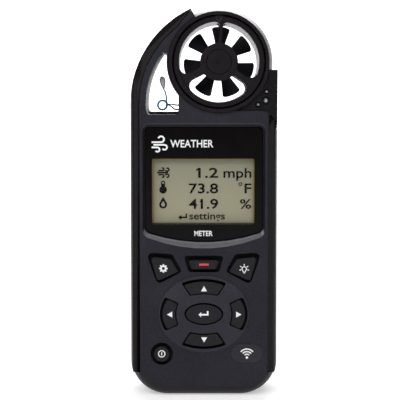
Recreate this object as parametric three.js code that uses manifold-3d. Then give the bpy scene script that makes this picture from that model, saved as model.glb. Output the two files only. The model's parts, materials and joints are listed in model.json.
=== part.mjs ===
// A handheld weather meter, built from its separate pieces.
//
// Millimetres. X runs to the right as the display is read, Z runs up, and the face looks along -Y.
// The origin is under the middle of the meter, on the surface that its flat foot stands on.

import * as THREE from 'three';
import { ConvexGeometry } from 'three/addons/geometries/ConvexGeometry.js';
import { mergeVertices } from 'three/addons/utils/BufferGeometryUtils.js';
import Module from 'manifold-3d';

const wasm = await Module();
wasm.setup();

// ---------------------------------------------------------------- driving dimensions

const HALF_WIDTH = 24;
const FRONT_Y = -14; // front edge of the duct rim, the foremost point
const BACK_Y = 14;
const FACE_Y = -12.8; // the flat face plate around the display and the keys
const PART_GAP = 0.15; // each shell stops this far short of the parting plane
const FIT = 0.3; // clearance between neighbouring curved or moving pieces

// The big arc on the left that carries the wing over the sensor window.
const WING_X = 10.45;
const WING_Z = 95.5;
const WING_R = WING_X + HALF_WIDTH;
const WING_TIP = [-4.1, 126.6];
const WING_BEND = THREE.MathUtils.degToRad(128); // the grip's inner edge runs straight past here

// The wind duct.
const DUCT_X = 4.95;
const DUCT_Z = 109.4;
const DUCT_R = 15.25;
const DUCT_WALL_R = 17.6;
const SHOULDER_Z = 106.9;

// The side grips sit outside the core of the housing.
const GRIP_WIDTH = 3.1;
const CORE_HALF = HALF_WIDTH - GRIP_WIDTH;
const GRIP_FRONT_Y = -11.8;
const GRIP_BACK_Y = 12.8;
const GRIP_EDGE = 1.3;
const FOOT_TOP = 7.7;
const FOOT_CORNER = 12;
const GRIP_START = Math.asin(1 - FOOT_TOP / FOOT_CORNER); // where the grips leave the foot's corner arc
const FOOT_EDGE = [3.1, 4]; // width and depth of the foot's rounded edge

// The face plate stops at a ledge beside the duct, and one arc rounds that ledge into the side.
const LEDGE_Z = 93.5;
const LEDGE_X = 18.4;
const LEDGE_R = 5.5;
const HEAD_FACE_Y = -11.8;

// The hollow inside both shells.
const CAVITY = { half: 18.6, bottom: 2.4, top: 90.6, corner: 6, front: -10.8, back: 12 };
const DISPLAY_FLOOR_Y = -9.6;
const DISPLAY_FRAME_Z = 49.2;

// The display: a sloping recess, the lens pocket and the aperture over the liquid crystal panel.
const RECESS = { half: 20, top: 89.7, side: 52.8, bottom: 49.1, corner: 2.2, floor: -12 };
const LENS = { half: 19.15, top: 88.15, side: 54.4, bottom: 51.3, corner: 1.6, front: -11.9, back: -10.6 };
const APERTURE = { left: -17.9, right: 17.5, bottom: 55.3, top: 79 };
const PANEL = { left: -18.3, right: 17.9, bottom: 53.9, top: 80.4, front: -9.5, back: -7.9 };

// The key pad.
const PAD = { z: 27.18, a: 14.7, b: 12.6, front: -13.1 };
const KEY_TOP_Y = -13.6;
const KEY_FLANGE = { front: -10.5, back: -9.7 };
const FLANGE_SPREAD = 1.065; // a key's flange is this much larger than its well, so it can't fall out

// The sensor window, cut right through.
const WINDOW = { r: 29.3, right: -8.2, bottom: 92.4, backBottom: 93.2, rib: 17.05, corner: 1.1 };

// The removable impeller module.
const MODULE_TURN = THREE.MathUtils.degToRad(3.5);
const MODULE_R = 14.95;
const MODULE_BORE = 13;
const GUARD = { front: -12.9, plate: -11.4, armFront: -12.4, armBack: -9.9, hub: 6.15, cap: 3.95 };
const SLEEVE = { front: -11.1, back: 12.9, armFront: 1, armBack: 3.5, hub: 4.4 };
const ROTOR = { y: -5.5, tip: 11.7, hub: 5.5, hubFront: -8.6, hubBack: -2.6, blades: 7 };
const BLADE = { thick: 0.9, tipWidth: 7.4, rootWidth: 2.2, pitch: THREE.MathUtils.degToRad(38) };
const AXLE_R = 0.5;

// The battery, a standard AA cell standing in a well at the back.
const CELL = { r: 7.25, z: 15, length: 49.5, nub: 2.75, nubLength: 1, y: 4.9 };
const WELL = { half: 7.7, bottom: 12.6, top: 67.5, front: -2.7, wall: 1.4 };
const DOOR = { half: 11, bottom: 5, top: 67.6, front: 12.4, axisY: 12.8, axisZ: 69.2, barrel: 1.2 };
const DOOR_SCREW_Z = 8.9;
const TRIPOD = { z: 78.5, outer: 4.9, bore: 3.1, front: 6, boss: 6.2 };
const SCREWS = [[-14.5, 5.6], [14.5, 5.6], [-16.3, 87.7], [16.3, 87.7]];
const SCREW_POST_R = 2.4;
const SCREW_HOLE_R = 1.1;
const SCREW_HEAD_R = 1.8;
const SCREW_HEAD_Y = 13.6;

const ROUND = 56; // facets on the large circles
const SMALL_ROUND = 16;
const PAD_FACETS = 56;
const KEY_FACETS = 32;

// ---------------------------------------------------------------- solids and shapes

// Turns a closed three.js geometry into a solid that can be joined and cut.
function solid(geometry) {
  const bare = geometry.clone();
  bare.deleteAttribute('normal');
  bare.deleteAttribute('uv');
  const merged = mergeVertices(bare, 1e-4);
  const index = merged.index.array;
  const corners = [];
  for (let i = 0; i < index.length; i += 3) {
    const [a, b, c] = [index[i], index[i + 1], index[i + 2]];
    if (a !== b && b !== c && c !== a) corners.push(a, b, c);
  }
  const vertProperties = new Float32Array(merged.attributes.position.array);
  const triVerts = new Uint32Array(corners);
  return new wasm.Manifold(new wasm.Mesh({ numProp: 3, vertProperties, triVerts }));
}

// Turns a solid back into a three.js geometry with flat-shaded faces.
function geometryOf(shape) {
  const mesh = shape.getMesh();
  const indexed = new THREE.BufferGeometry();
  indexed.setAttribute('position', new THREE.BufferAttribute(mesh.vertProperties, 3));
  indexed.setIndex(new THREE.BufferAttribute(mesh.triVerts, 1));
  const geometry = indexed.toNonIndexed();
  geometry.computeVertexNormals();
  return geometry;
}

// Extrudes a shape drawn in X and Z from yFront back to yBack.
// edge = [width, depth] rounds both rims inwards.
function slab(shape, yFront, yBack, edge = [0, 0], edgeSteps = 2) {
  const [width, depth] = edge;
  const geometry = new THREE.ExtrudeGeometry(shape, {
    depth: yBack - yFront - 2 * depth,
    curveSegments: 7,
    bevelEnabled: width > 0,
    bevelThickness: depth,
    bevelSize: width,
    bevelOffset: -width,
    bevelSegments: edgeSteps,
  });
  geometry.translate(0, 0, depth);
  geometry.rotateX(Math.PI / 2);
  geometry.translate(0, yBack, 0);
  return geometry;
}

// A box given by its lowest and highest corners.
function block(low, high) {
  const size = high.map((value, axis) => value - low[axis]);
  const geometry = new THREE.BoxGeometry(...size);
  geometry.translate(...high.map((value, axis) => (value + low[axis]) / 2));
  return geometry;
}

// A disc or pin along Y, centred on (x, z).
function pin(x, z, radius, yFront, yBack, facets = SMALL_ROUND) {
  const geometry = new THREE.CylinderGeometry(radius, radius, yBack - yFront, facets);
  geometry.translate(x, (yFront + yBack) / 2, z);
  return geometry;
}

// A turned piece about the Y axis, from a profile of [radius, y] points.
function turned(profile, facets = ROUND) {
  const points = profile.map(([radius, y]) => new THREE.Vector2(radius, y));
  return new THREE.LatheGeometry(points, facets);
}

// A flat washer about the Y axis.
function washer(inner, outer, yFront, yBack, facets = ROUND) {
  return turned([[inner, yFront], [outer, yFront], [outer, yBack], [inner, yBack], [inner, yFront]], facets);
}

// A closed outline through corner points, each rounded with its own radius: [x, z, radius].
function roundedPolygon(corners) {
  const shape = new THREE.Shape();
  corners.forEach(([x, z, radius], i) => {
    const corner = new THREE.Vector2(x, z);
    const before = corners.at(i - 1);
    const after = corners[(i + 1) % corners.length];
    const toBefore = new THREE.Vector2(before[0], before[1]).sub(corner).normalize();
    const toAfter = new THREE.Vector2(after[0], after[1]).sub(corner).normalize();
    const halfAngle = Math.acos(toBefore.dot(toAfter)) / 2;
    const reach = radius / Math.tan(halfAngle);
    const start = corner.clone().addScaledVector(toBefore, reach);
    const end = corner.clone().addScaledVector(toAfter, reach);
    if (i === 0) shape.moveTo(start.x, start.y);
    else shape.lineTo(start.x, start.y);
    shape.quadraticCurveTo(x, z, end.x, end.y);
  });
  shape.closePath();
  return shape;
}

function rectangle(left, right, bottom, top, radius) {
  return roundedPolygon([
    [left, bottom, radius],
    [right, bottom, radius],
    [right, top, radius],
    [left, top, radius],
  ]);
}

function ellipse(x, z, a, b, facets = 24) {
  const curve = new THREE.EllipseCurve(x, z, a, b);
  return new THREE.Shape(curve.getPoints(facets).slice(0, -1));
}

function mirrored(corners) {
  return corners.map(([x, z, radius]) => [-x, z, radius]).reverse();
}

// The tube of a round wire along a smooth curve through hand-placed points.
function wire(points, radius, steps) {
  const path = new THREE.CatmullRomCurve3(points.map((point) => new THREE.Vector3(...point)));
  const section = new THREE.Shape();
  section.absarc(0, 0, radius, 0, 2 * Math.PI);
  return new THREE.ExtrudeGeometry(section, {
    steps,
    curveSegments: 3,
    bevelEnabled: false,
    extrudePath: path,
  });
}

// ---------------------------------------------------------------- outlines

// The foot: full width, flat underneath, with large round corners.
function footShape() {
  const half = HALF_WIDTH;
  const corner = FOOT_CORNER;
  const shape = new THREE.Shape();
  shape.moveTo(-half, corner);
  shape.absarc(-half + corner, corner, corner, Math.PI, 1.5 * Math.PI);
  shape.absarc(half - corner, corner, corner, 1.5 * Math.PI, 2 * Math.PI);
  shape.lineTo(half, 3 * corner);
  shape.lineTo(-half, 3 * corner);
  shape.closePath();
  return shape;
}

// The core of the housing: everything between the side grips, with the wing's inner arm.
function coreShape() {
  const wingRadius = WING_R - GRIP_WIDTH;
  const [tipX, tipZ] = WING_TIP;
  const shape = new THREE.Shape();
  shape.moveTo(-CORE_HALF, FOOT_TOP - 1);
  shape.lineTo(CORE_HALF, FOOT_TOP - 1);
  const ledgeEnd = Math.acos((CORE_HALF - LEDGE_X) / LEDGE_R);
  shape.absarc(LEDGE_X, LEDGE_Z - LEDGE_R, LEDGE_R, ledgeEnd, Math.PI / 2);
  shape.lineTo(DUCT_X, LEDGE_Z);
  shape.lineTo(DUCT_X, DUCT_Z);
  shape.lineTo(tipX + 0.8, tipZ - 1.6);
  shape.lineTo(tipX + 0.1, tipZ - 0.5);
  shape.absarc(WING_X, WING_Z, wingRadius, WING_BEND, Math.PI);
  shape.closePath();
  return shape;
}

// The smooth head beside the duct, from the ledge's arc up to the shoulder.
function headShape() {
  const shape = new THREE.Shape();
  shape.moveTo(DUCT_X, DUCT_Z);
  shape.lineTo(DUCT_X, LEDGE_Z - 1);
  shape.lineTo(LEDGE_X, LEDGE_Z - 1);
  shape.absarc(LEDGE_X, LEDGE_Z - LEDGE_R, LEDGE_R, Math.PI / 2, 0, true);
  shape.lineTo(HALF_WIDTH, SHOULDER_Z);
  shape.lineTo(DUCT_X + DUCT_WALL_R - 1, SHOULDER_Z);
  shape.closePath();
  return shape;
}

// The left grip follows the straight side and the wing's arc out to the wing tip.
function leftGripShape() {
  const tipAngle = Math.atan2(WING_TIP[1] - WING_Z, WING_TIP[0] - WING_X);
  const shape = new THREE.Shape();
  shape.moveTo(-CORE_HALF, FOOT_TOP);
  shape.lineTo(-CORE_HALF, WING_Z - 3);
  const innerRadius = WING_R - GRIP_WIDTH + FIT;
  shape.absarc(WING_X, WING_Z, innerRadius, Math.PI, WING_BEND, true);
  shape.absarc(WING_X, WING_Z, WING_R, tipAngle, Math.PI);
  shape.absarc(-HALF_WIDTH + FOOT_CORNER, FOOT_CORNER, FOOT_CORNER, Math.PI, Math.PI + GRIP_START);
  shape.closePath();
  return shape;
}

// The right grip ends under the ledge's arc.
function rightGripShape() {
  const radius = LEDGE_R - FIT;
  const start = Math.acos((HALF_WIDTH - FIT - LEDGE_X) / LEDGE_R);
  const end = Math.acos((CORE_HALF - LEDGE_X) / radius);
  const shape = new THREE.Shape();
  shape.moveTo(CORE_HALF, LEDGE_Z - LEDGE_R);
  shape.lineTo(CORE_HALF, FOOT_TOP);
  shape.absarc(HALF_WIDTH - FOOT_CORNER, FOOT_CORNER, FOOT_CORNER, -GRIP_START, 0);
  shape.lineTo(HALF_WIDTH, LEDGE_Z - LEDGE_R - 1);
  shape.absarc(LEDGE_X, LEDGE_Z - LEDGE_R, radius, start, end);
  shape.closePath();
  return shape;
}

// The display's outline: square shoulders and a bottom edge that bows downwards.
function displayShape({ half, top, side, bottom, corner }, grow = 0) {
  const edge = half + grow;
  const shape = new THREE.Shape();
  shape.moveTo(-edge, side + corner);
  shape.quadraticCurveTo(-edge, side, -edge + corner, side - grow - corner / 3);
  shape.quadraticCurveTo(0, 2 * bottom - side - grow, edge - corner, side - grow - corner / 3);
  shape.quadraticCurveTo(edge, side, edge, side + corner);
  shape.lineTo(edge, top + grow - corner);
  shape.quadraticCurveTo(edge, top + grow, edge - corner, top + grow);
  shape.lineTo(-edge + corner, top + grow);
  shape.quadraticCurveTo(-edge, top + grow, -edge, top + grow - corner);
  shape.closePath();
  return shape;
}

// The sensor window: the wing's arc, the duct's rib, and a straight sill.
function windowShape(bottom) {
  const { r, right, rib, corner } = WINDOW;
  const ribAngle = Math.PI + Math.acos((DUCT_X - right) / rib);
  const tipAngle = THREE.MathUtils.degToRad(144.4);
  const ribTop = THREE.MathUtils.degToRad(171.5);
  const left = WING_X - Math.sqrt(r * r - (WING_Z - bottom - corner) ** 2);
  const shape = new THREE.Shape();
  shape.moveTo(left + corner, bottom);
  shape.lineTo(right - corner, bottom);
  shape.quadraticCurveTo(right, bottom, right, bottom + corner);
  shape.absarc(DUCT_X, DUCT_Z, rib, ribAngle, ribTop, true);
  shape.absarc(WING_X, WING_Z, r, tipAngle, Math.PI);
  shape.quadraticCurveTo(left, bottom, left + corner, bottom);
  shape.closePath();
  return shape;
}

// ---------------------------------------------------------------- keys

// Corner points of the slanted key at the left, and of the well around it.
const SIDE_KEY = [[-15.1, 38.1, 0.9], [-8.2, 41.2, 0.7], [-10.7, 45.2, 1], [-17.4, 46.1, 1.2]];
const SIDE_WELL = [[-15.2, 36.8, 1.8], [-7.1, 41.1, 1], [-10.3, 46.9, 1.5], [-19, 47.5, 2]];
const TOP_KEY = [[-3.9, 42, 0.6], [3.9, 42, 0.6], [5.1, 44.9, 0.8], [-5.1, 44.9, 0.8]];
const TOP_WELL = [[-5, 40.9, 1.4], [5, 40.9, 1.4], [6.6, 46.4, 1.2], [-6.6, 46.4, 1.2]];

// A key of the ring: two bowed edges between slanted sides, drawn pointing up and then turned.
// Each edge is [half width, distance from the pad's centre, rise of its bow].
function bowedShape(inner, outer, turn, corner = 0.7) {
  const at = (x, z) => {
    const point = new THREE.Vector2(x, z).rotateAround(new THREE.Vector2(), turn);
    return [point.x, point.y + PAD.z];
  };
  const [innerHalf, innerZ, innerRise] = inner;
  const [outerHalf, outerZ, outerRise] = outer;
  const side = new THREE.Vector2(outerHalf - innerHalf, outerZ - innerZ).setLength(corner);
  const innerX = innerHalf - corner;
  const outerX = outerHalf - corner;
  const innerEnd = innerZ + innerRise * (1 - (innerX / innerHalf) ** 2);
  const outerEnd = outerZ + outerRise * (1 - (outerX / outerHalf) ** 2);
  const shape = new THREE.Shape();
  shape.moveTo(...at(-innerX, innerEnd));
  shape.quadraticCurveTo(...at(0, 2 * (innerZ + innerRise) - innerEnd), ...at(innerX, innerEnd));
  shape.quadraticCurveTo(...at(innerHalf, innerZ), ...at(innerHalf + side.x, innerZ + side.y));
  shape.lineTo(...at(outerHalf - side.x, outerZ - side.y));
  shape.quadraticCurveTo(...at(outerHalf, outerZ), ...at(outerX, outerEnd));
  shape.quadraticCurveTo(...at(0, 2 * (outerZ + outerRise) - outerEnd), ...at(-outerX, outerEnd));
  shape.quadraticCurveTo(...at(-outerHalf, outerZ), ...at(side.x - outerHalf, outerZ - side.y));
  shape.lineTo(...at(-innerHalf - side.x, innerZ + side.y));
  shape.quadraticCurveTo(...at(-innerHalf, innerZ), ...at(-innerX, innerEnd));
  shape.closePath();
  return shape;
}

// The up and down keys are wide and shallow, and the left and right keys are tall and narrow.
const WIDE_KEY = { key: [[4.3, 6.3, 0.6], [6.5, 9.5, 1.2]], well: [[4.6, 5.9, 0.6], [7.4, 10.2, 1.4]] };
const TALL_KEY = { key: [[3.3, 8.6, 0.8], [4.9, 11.9, 1.6]], well: [[3.6, 8.2, 0.8], [5.6, 12.7, 1.7]] };

const QUARTER = Math.PI / 2;
const ENTER_KEY = { x: 0, z: PAD.z, a: 5.9, b: 3.2, rim: 0.5 };
const POWER_KEY = { x: -13.8, z: 14, a: 2.5, b: 2.5, rim: 1.2 };

function slantedKey(name, cap, well) {
  return { name, cap: roundedPolygon(cap), well: roundedPolygon(well) };
}

function ringKey(name, { key, well }, turn) {
  return { name, cap: bowedShape(...key, turn), well: bowedShape(...well, turn) };
}

function ovalKey(name, { x, z, a, b, rim }) {
  return {
    name,
    cap: ellipse(x, z, a, b, KEY_FACETS),
    well: ellipse(x, z, a + rim, b + rim, KEY_FACETS),
  };
}

const KEYS = [
  slantedKey('key_settings', SIDE_KEY, SIDE_WELL),
  slantedKey('key_capture', TOP_KEY, TOP_WELL),
  slantedKey('key_backlight', mirrored(SIDE_KEY), mirrored(SIDE_WELL)),
  ringKey('key_up', WIDE_KEY, 0),
  ringKey('key_down', WIDE_KEY, 2 * QUARTER),
  ringKey('key_left', TALL_KEY, QUARTER),
  ringKey('key_right', TALL_KEY, -QUARTER),
  ovalKey('key_enter', ENTER_KEY),
  ovalKey('key_power', POWER_KEY),
];

// The middle of a key, where its dome and its nub lie.
function middleOf(shape) {
  const box = new THREE.Box2().setFromPoints(shape.getPoints(6));
  return box.getCenter(new THREE.Vector2());
}

// A key is its cap, which stands in the well, on a wider flange behind the face plate.
function keyGeometry({ cap, well }) {
  const { half, bottom, top } = CAVITY;
  const space = solid(block([-half + FIT, FACE_Y, bottom + FIT], [half - FIT, 0, top]));
  const flange = slab(well, KEY_FLANGE.front, KEY_FLANGE.back);
  const middle = middleOf(well);
  const wider = flange.clone().translate(-middle.x, 0, -middle.y);
  wider.scale(FLANGE_SPREAD, 1, FLANGE_SPREAD).translate(middle.x, 0, middle.y);
  const foot = solid(flange).add(solid(wider)).intersect(space);
  return geometryOf(foot.add(solid(slab(cap, KEY_TOP_Y, KEY_FLANGE.back))));
}

// ---------------------------------------------------------------- housing

// The wall around the duct: a narrow rim front and back, flaring to full size between them.
function ductWall() {
  return solid(turned([
    [DUCT_R, FRONT_Y], [16.3, FRONT_Y], [17, -11.6], [DUCT_WALL_R, -7.5],
    [DUCT_WALL_R, 7.5], [17, 11.6], [16.3, BACK_Y], [DUCT_R, BACK_Y], [DUCT_R, FRONT_Y],
  ]).translate(DUCT_X, 0, DUCT_Z));
}

// The whole body before it is hollowed and split.
function bodySolid() {
  const foot = solid(slab(footShape(), FACE_Y, BACK_Y, FOOT_EDGE, 3))
    .intersect(solid(block([-HALF_WIDTH, FACE_Y - 1, -1], [HALF_WIDTH, BACK_Y + 1, FOOT_TOP])));
  const core = solid(slab(coreShape(), FACE_Y, BACK_Y));
  const head = solid(slab(headShape(), HEAD_FACE_Y, BACK_Y));
  const bore = solid(pin(DUCT_X, DUCT_Z, DUCT_R, FRONT_Y - 1, BACK_Y + 1, ROUND));
  return foot.add(core).add(head).subtract(bore).add(ductWall())
    .subtract(solid(slab(windowShape(WINDOW.bottom), FRONT_Y - 1, 0)))
    .subtract(solid(slab(windowShape(WINDOW.backBottom), 0, BACK_Y + 1)));
}

function cavitySolid(yFront, yBack, bottom = CAVITY.bottom) {
  const { half, top, corner } = CAVITY;
  return solid(slab(roundedPolygon([
    [-half, bottom, corner], [half, bottom, corner], [half, top, 1], [-half, top, 1],
  ]), yFront, yBack));
}

// The keep-out half space on one side of the parting plane.
function halfSpace(yFront, yBack) {
  return solid(block([-50, yFront, -10], [50, yBack, 140]));
}

// Round sockets beside the duct where a cradle's spring contacts land: [x, z, well radius].
const SOCKETS = [[20.4, 99.8, 1.1], [20.2, 96.9, 1.6], [17.7, 95.6, 1.1]];
const SOCKET_DEPTH = 1.4;

// The display's recess slopes in from the face plate to the rim of the lens.
function recessSolid() {
  const steps = 7;
  const outline = (shape, y) => shape.getPoints(steps).map((point) => new THREE.Vector3(point.x, y, point.y));
  return solid(new ConvexGeometry([
    ...outline(displayShape(RECESS), FACE_Y - 1),
    ...outline(displayShape(RECESS), FACE_Y),
    ...outline(displayShape(LENS, FIT + 0.1), RECESS.floor),
  ]));
}

function frontHousing(body) {
  let shell = body.intersect(halfSpace(FRONT_Y - 1, -PART_GAP));
  shell = shell.add(solid(slab(ellipse(0, PAD.z, PAD.a, PAD.b, PAD_FACETS), PAD.front, FACE_Y + 1)));
  const keySpace = cavitySolid(CAVITY.front, 1).intersect(
    solid(block([-50, -50, 0], [50, 50, DISPLAY_FRAME_Z])));
  const panelSpace = solid(slab(
    rectangle(-CAVITY.half, CAVITY.half, DISPLAY_FRAME_Z - 1, CAVITY.top, 0.5), DISPLAY_FLOOR_Y, 1));
  shell = shell.subtract(keySpace).subtract(panelSpace);
  for (const [x, z] of SCREWS) {
    const front = z > DISPLAY_FRAME_Z ? DISPLAY_FLOOR_Y - 0.5 : CAVITY.front - 0.5;
    shell = shell.add(solid(pin(x, z, SCREW_POST_R, front, -PART_GAP)));
    shell = shell.subtract(solid(pin(x, z, SCREW_HOLE_R, -8.5, 1)));
  }
  const pocket = slab(displayShape(LENS, FIT), FACE_Y, LENS.back);
  const { left, right, bottom, top } = APERTURE;
  const aperture = slab(rectangle(left, right, bottom, top, 0.6), FACE_Y, -8);
  shell = shell.subtract(recessSolid()).subtract(solid(pocket)).subtract(solid(aperture));
  for (const { well } of KEYS) shell = shell.subtract(solid(slab(well, FACE_Y - 1, CAVITY.front + 0.1)));
  for (const [x, z, radius] of SOCKETS) {
    shell = shell.subtract(solid(pin(x, z, radius, HEAD_FACE_Y - 1, HEAD_FACE_Y + SOCKET_DEPTH)));
  }
  return geometryOf(shell.subtract(terminalSpace()));
}

function rearHousing(body) {
  const { wall, half, bottom, top, front } = WELL;
  let shell = body.intersect(halfSpace(PART_GAP, BACK_Y + 1));
  shell = shell.subtract(cavitySolid(-1, CAVITY.back));
  const skin = CAVITY.back + 0.5; // inner features are carried this far into the back wall
  shell = shell.add(solid(block([-half - wall, front - wall, bottom - 6], [half + wall, skin, top + wall])));
  shell = shell.add(solid(block([-DOOR.half - wall, 10.6, 3], [DOOR.half + wall, skin, DOOR.axisZ + 3])));
  shell = shell.add(solid(pin(0, TRIPOD.z, TRIPOD.boss, TRIPOD.front - 1.5, skin, 24)));
  for (const [x, z] of SCREWS) {
    shell = shell.add(solid(pin(x, z, SCREW_POST_R, PART_GAP, skin)));
    shell = shell.subtract(solid(pin(x, z, SCREW_HOLE_R, -1, BACK_Y)));
    shell = shell.subtract(solid(pin(x, z, SCREW_HEAD_R + FIT, 12.3, BACK_Y + 1)));
  }
  const edge = DOOR.half + FIT;
  const barrelSpace = DOOR.barrel + FIT;
  const axisTop = DOOR.axisZ + barrelSpace;
  const cuts = [
    block([-half, front, bottom], [half, BACK_Y, top]),
    block([-edge, DOOR.front - 0.4, DOOR.bottom - FIT], [edge, BACK_Y + 1, axisTop]),
    block([-edge, DOOR.axisY - barrelSpace, DOOR.axisZ - barrelSpace], [edge, BACK_Y + 1, axisTop]),
    alongX(pin(DOOR.axisY, DOOR.axisZ, 0.8, -DOOR.half - 1.5, DOOR.half + 1.5, 12)),
    pin(0, DOOR_SCREW_Z, 2.2, 8, BACK_Y),
    pin(0, TRIPOD.z, TRIPOD.outer + FIT, TRIPOD.front - 0.3, BACK_Y + 1, 24),
    slab(rectangle(-13.3, -7.7, 83.1, 86.9, 1.2), 13.2, BACK_Y + 1),
    slab(rectangle(-12.1, -8.9, 84.1, 85.9, 0.7), 11, BACK_Y),
  ];
  for (const cut of cuts) shell = shell.subtract(solid(cut));
  return geometryOf(shell.subtract(terminalSpace()).subtract(solid(gasketGeometry(FIT / 2, 1.2))));
}

// Lays a piece made by pin() across the meter: its centre is then given as (y, z).
function alongX(geometry) {
  const [y, z] = [DOOR.axisY, DOOR.axisZ];
  return geometry.translate(-y, 0, -z).rotateZ(Math.PI / 2).translate(0, y, z);
}

// The seal between the shells: a rubber ring in a groove around the hollow.
function gasketGeometry(grow = 0, depth = 1) {
  const { half, bottom, top } = CAVITY;
  const ring = (out, up, radius) => roundedPolygon([
    [-half - out, bottom - out, radius],
    [half + out, bottom - out, radius],
    [half + out, top + up, 1],
    [-half - out, top + up, 1],
  ]);
  const outer = ring(1.65 + grow, 1.2 + grow, 9);
  outer.holes.push(ring(0.65 - grow, 0.4 - grow, 8));
  return slab(outer, -PART_GAP, depth - PART_GAP);
}

function gripGeometry(shape) {
  const rim = solid(slab(shape, GRIP_FRONT_Y, GRIP_BACK_Y, [0, 0]));
  const half = HALF_WIDTH;
  const rounded = solid(slab(
    rectangle(-half, half, -20, 150, 4), GRIP_FRONT_Y, GRIP_BACK_Y, [GRIP_EDGE, 2 * GRIP_EDGE], 3));
  return geometryOf(rim.intersect(rounded));
}

// ---------------------------------------------------------------- display stack and electronics

const BOARD = { half: 18.2, bottom: 8.6, top: 84.8, front: -6.6, back: -5.4 };

function membraneGeometry() {
  let sheet = solid(block([-18.2, -9.1, 9.2], [18.2, -8.5, 48.8]));
  for (const { cap } of KEYS) {
    const { x, y } = middleOf(cap);
    sheet = sheet.add(solid(pin(x, y, 1, -8.6, -8.1, 8)));
  }
  return geometryOf(sheet);
}

function domeSheetGeometry() {
  let sheet = solid(block([-17.8, BOARD.front - 0.25, 9.6], [17.8, BOARD.front, 48.4]));
  for (const { cap } of KEYS) {
    const { x, y } = middleOf(cap);
    const dome = turned([[0, -7.7], [1.2, -7.5], [2.1, -6.8], [0, -6.8]], 8);
    sheet = sheet.add(solid(dome.translate(x, 0, y)));
  }
  return geometryOf(sheet);
}

// ---------------------------------------------------------------- sensor

const TERMINAL = { left: -8.2, right: -5.2, bottom: 92.9, top: 96.4, front: -3.6, back: 2.4 };

function terminalSpace() {
  const { left, right, bottom, top, front, back } = TERMINAL;
  return solid(block([left - 1, front, bottom], [right, back, top]));
}

// The bead: a glass-coated drop, blunt at the top and narrow where the leads leave it.
function beadGeometry() {
  const profile = [[0, -2.1], [0.32, -2], [0.75, -0.9], [1.08, 0.5], [1.02, 1.3], [0.6, 1.95], [0, 2.15]];
  const geometry = turned(profile, 16);
  return geometry.rotateX(Math.PI / 2).rotateY(THREE.MathUtils.degToRad(-9));
}

// One lead: down from the bead, round its coil, and into the terminal block.
function leadGeometry({ y, turns, wallZ, radius }) {
  const coil = { x: -13.75, z: 95.4, r: 1.35, spread: 0.35 };
  const pitch = 0.8;
  const points = [[-13.05, y, 100.4], [-12.6, y, 98.8], [-12.35, y, 97], [-12.3, y, 96]];
  const first = THREE.MathUtils.degToRad(10);
  const stepsPerTurn = 12;
  const steps = Math.round(turns * stepsPerTurn);
  for (let i = 0; i <= steps; i += 1) {
    const angle = first - (i / stepsPerTurn) * 2 * Math.PI;
    const reach = coil.r + (coil.spread * i) / steps;
    points.push([
      coil.x + reach * Math.cos(angle),
      y + (i / stepsPerTurn) * pitch,
      coil.z + reach * Math.sin(angle),
    ]);
  }
  const last = y + turns * pitch;
  points.push([-10.9, last, (points.at(-1)[2] + wallZ) / 2 + 0.2]);
  points.push([-9.6, last, wallZ + 0.1]);
  points.push([TERMINAL.left - 0.2, last, wallZ]);
  return wire(points, radius, 52);
}

// ---------------------------------------------------------------- impeller module

// An arm of a guard, from inside the hub out to the ring, lying along local +Z before it is turned.
function armSolid(halfWidth, root, yFront, yBack, turn) {
  const flare = halfWidth + 0.8;
  const shape = new THREE.Shape();
  shape.moveTo(-halfWidth - 0.3, root);
  shape.lineTo(halfWidth + 0.3, root);
  shape.lineTo(halfWidth, 7.4);
  shape.lineTo(halfWidth, 11.6);
  shape.lineTo(flare, MODULE_BORE + 0.3);
  shape.lineTo(-flare, MODULE_BORE + 0.3);
  shape.lineTo(-halfWidth, 11.6);
  shape.lineTo(-halfWidth, 7.4);
  shape.closePath();
  return solid(slab(shape, yFront, yBack).rotateY(turn));
}

const ARMS = [[0.5, 0], [1.1, 120.5], [1.1, 239.5]]; // half width and angle of each arm

function armsOf(root, yFront, yBack) {
  return ARMS.map(([half, angle]) => armSolid(half, root, yFront, yBack, THREE.MathUtils.degToRad(angle)));
}

function guardGeometry() {
  const { front, plate, armFront, armBack, hub, cap } = GUARD;
  let guard = solid(washer(MODULE_BORE, MODULE_R, front, plate));
  guard = guard.add(solid(washer(1.8, hub, armFront, armBack)));
  guard = guard.subtract(solid(pin(0, 0, cap + FIT, armFront - 1, -11.3, ROUND)));
  for (const arm of armsOf(hub - 1, armFront, armBack)) {
    const reach = solid(pin(0, 0, MODULE_BORE + 0.25, armFront - 1, armBack + 1, ROUND));
    guard = guard.add(arm.intersect(reach));
  }
  const step = solid(washer(MODULE_BORE - FIT, MODULE_R, plate, armBack + 1));
  return geometryOf(guard.subtract(step));
}

function sleeveGeometry() {
  const { front, back, armFront, armBack, hub } = SLEEVE;
  let sleeve = solid(washer(MODULE_BORE, MODULE_R, front, back));
  sleeve = sleeve.add(solid(washer(1.8, hub, armFront, armBack)));
  for (const arm of armsOf(hub - 1, armFront, armBack)) sleeve = sleeve.add(arm);
  return geometryOf(sleeve);
}

// One blade stands out from the hub, pitched about its own length.
function bladeSolid(angle) {
  const { thick, tipWidth, rootWidth, pitch } = BLADE;
  const shape = roundedPolygon([
    [-rootWidth / 2, ROTOR.hub - 1.2, 0.05],
    [rootWidth / 2, ROTOR.hub - 1.2, 0.05],
    [tipWidth / 2, ROTOR.tip - 0.5, 0.7],
    [0, ROTOR.tip, 0.05],
    [-tipWidth / 2, ROTOR.tip - 0.5, 0.7],
  ]);
  const plate = slab(shape, -thick / 2, thick / 2);
  return solid(plate.rotateZ(pitch).translate(0, ROTOR.y, 0).rotateY(angle));
}

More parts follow.
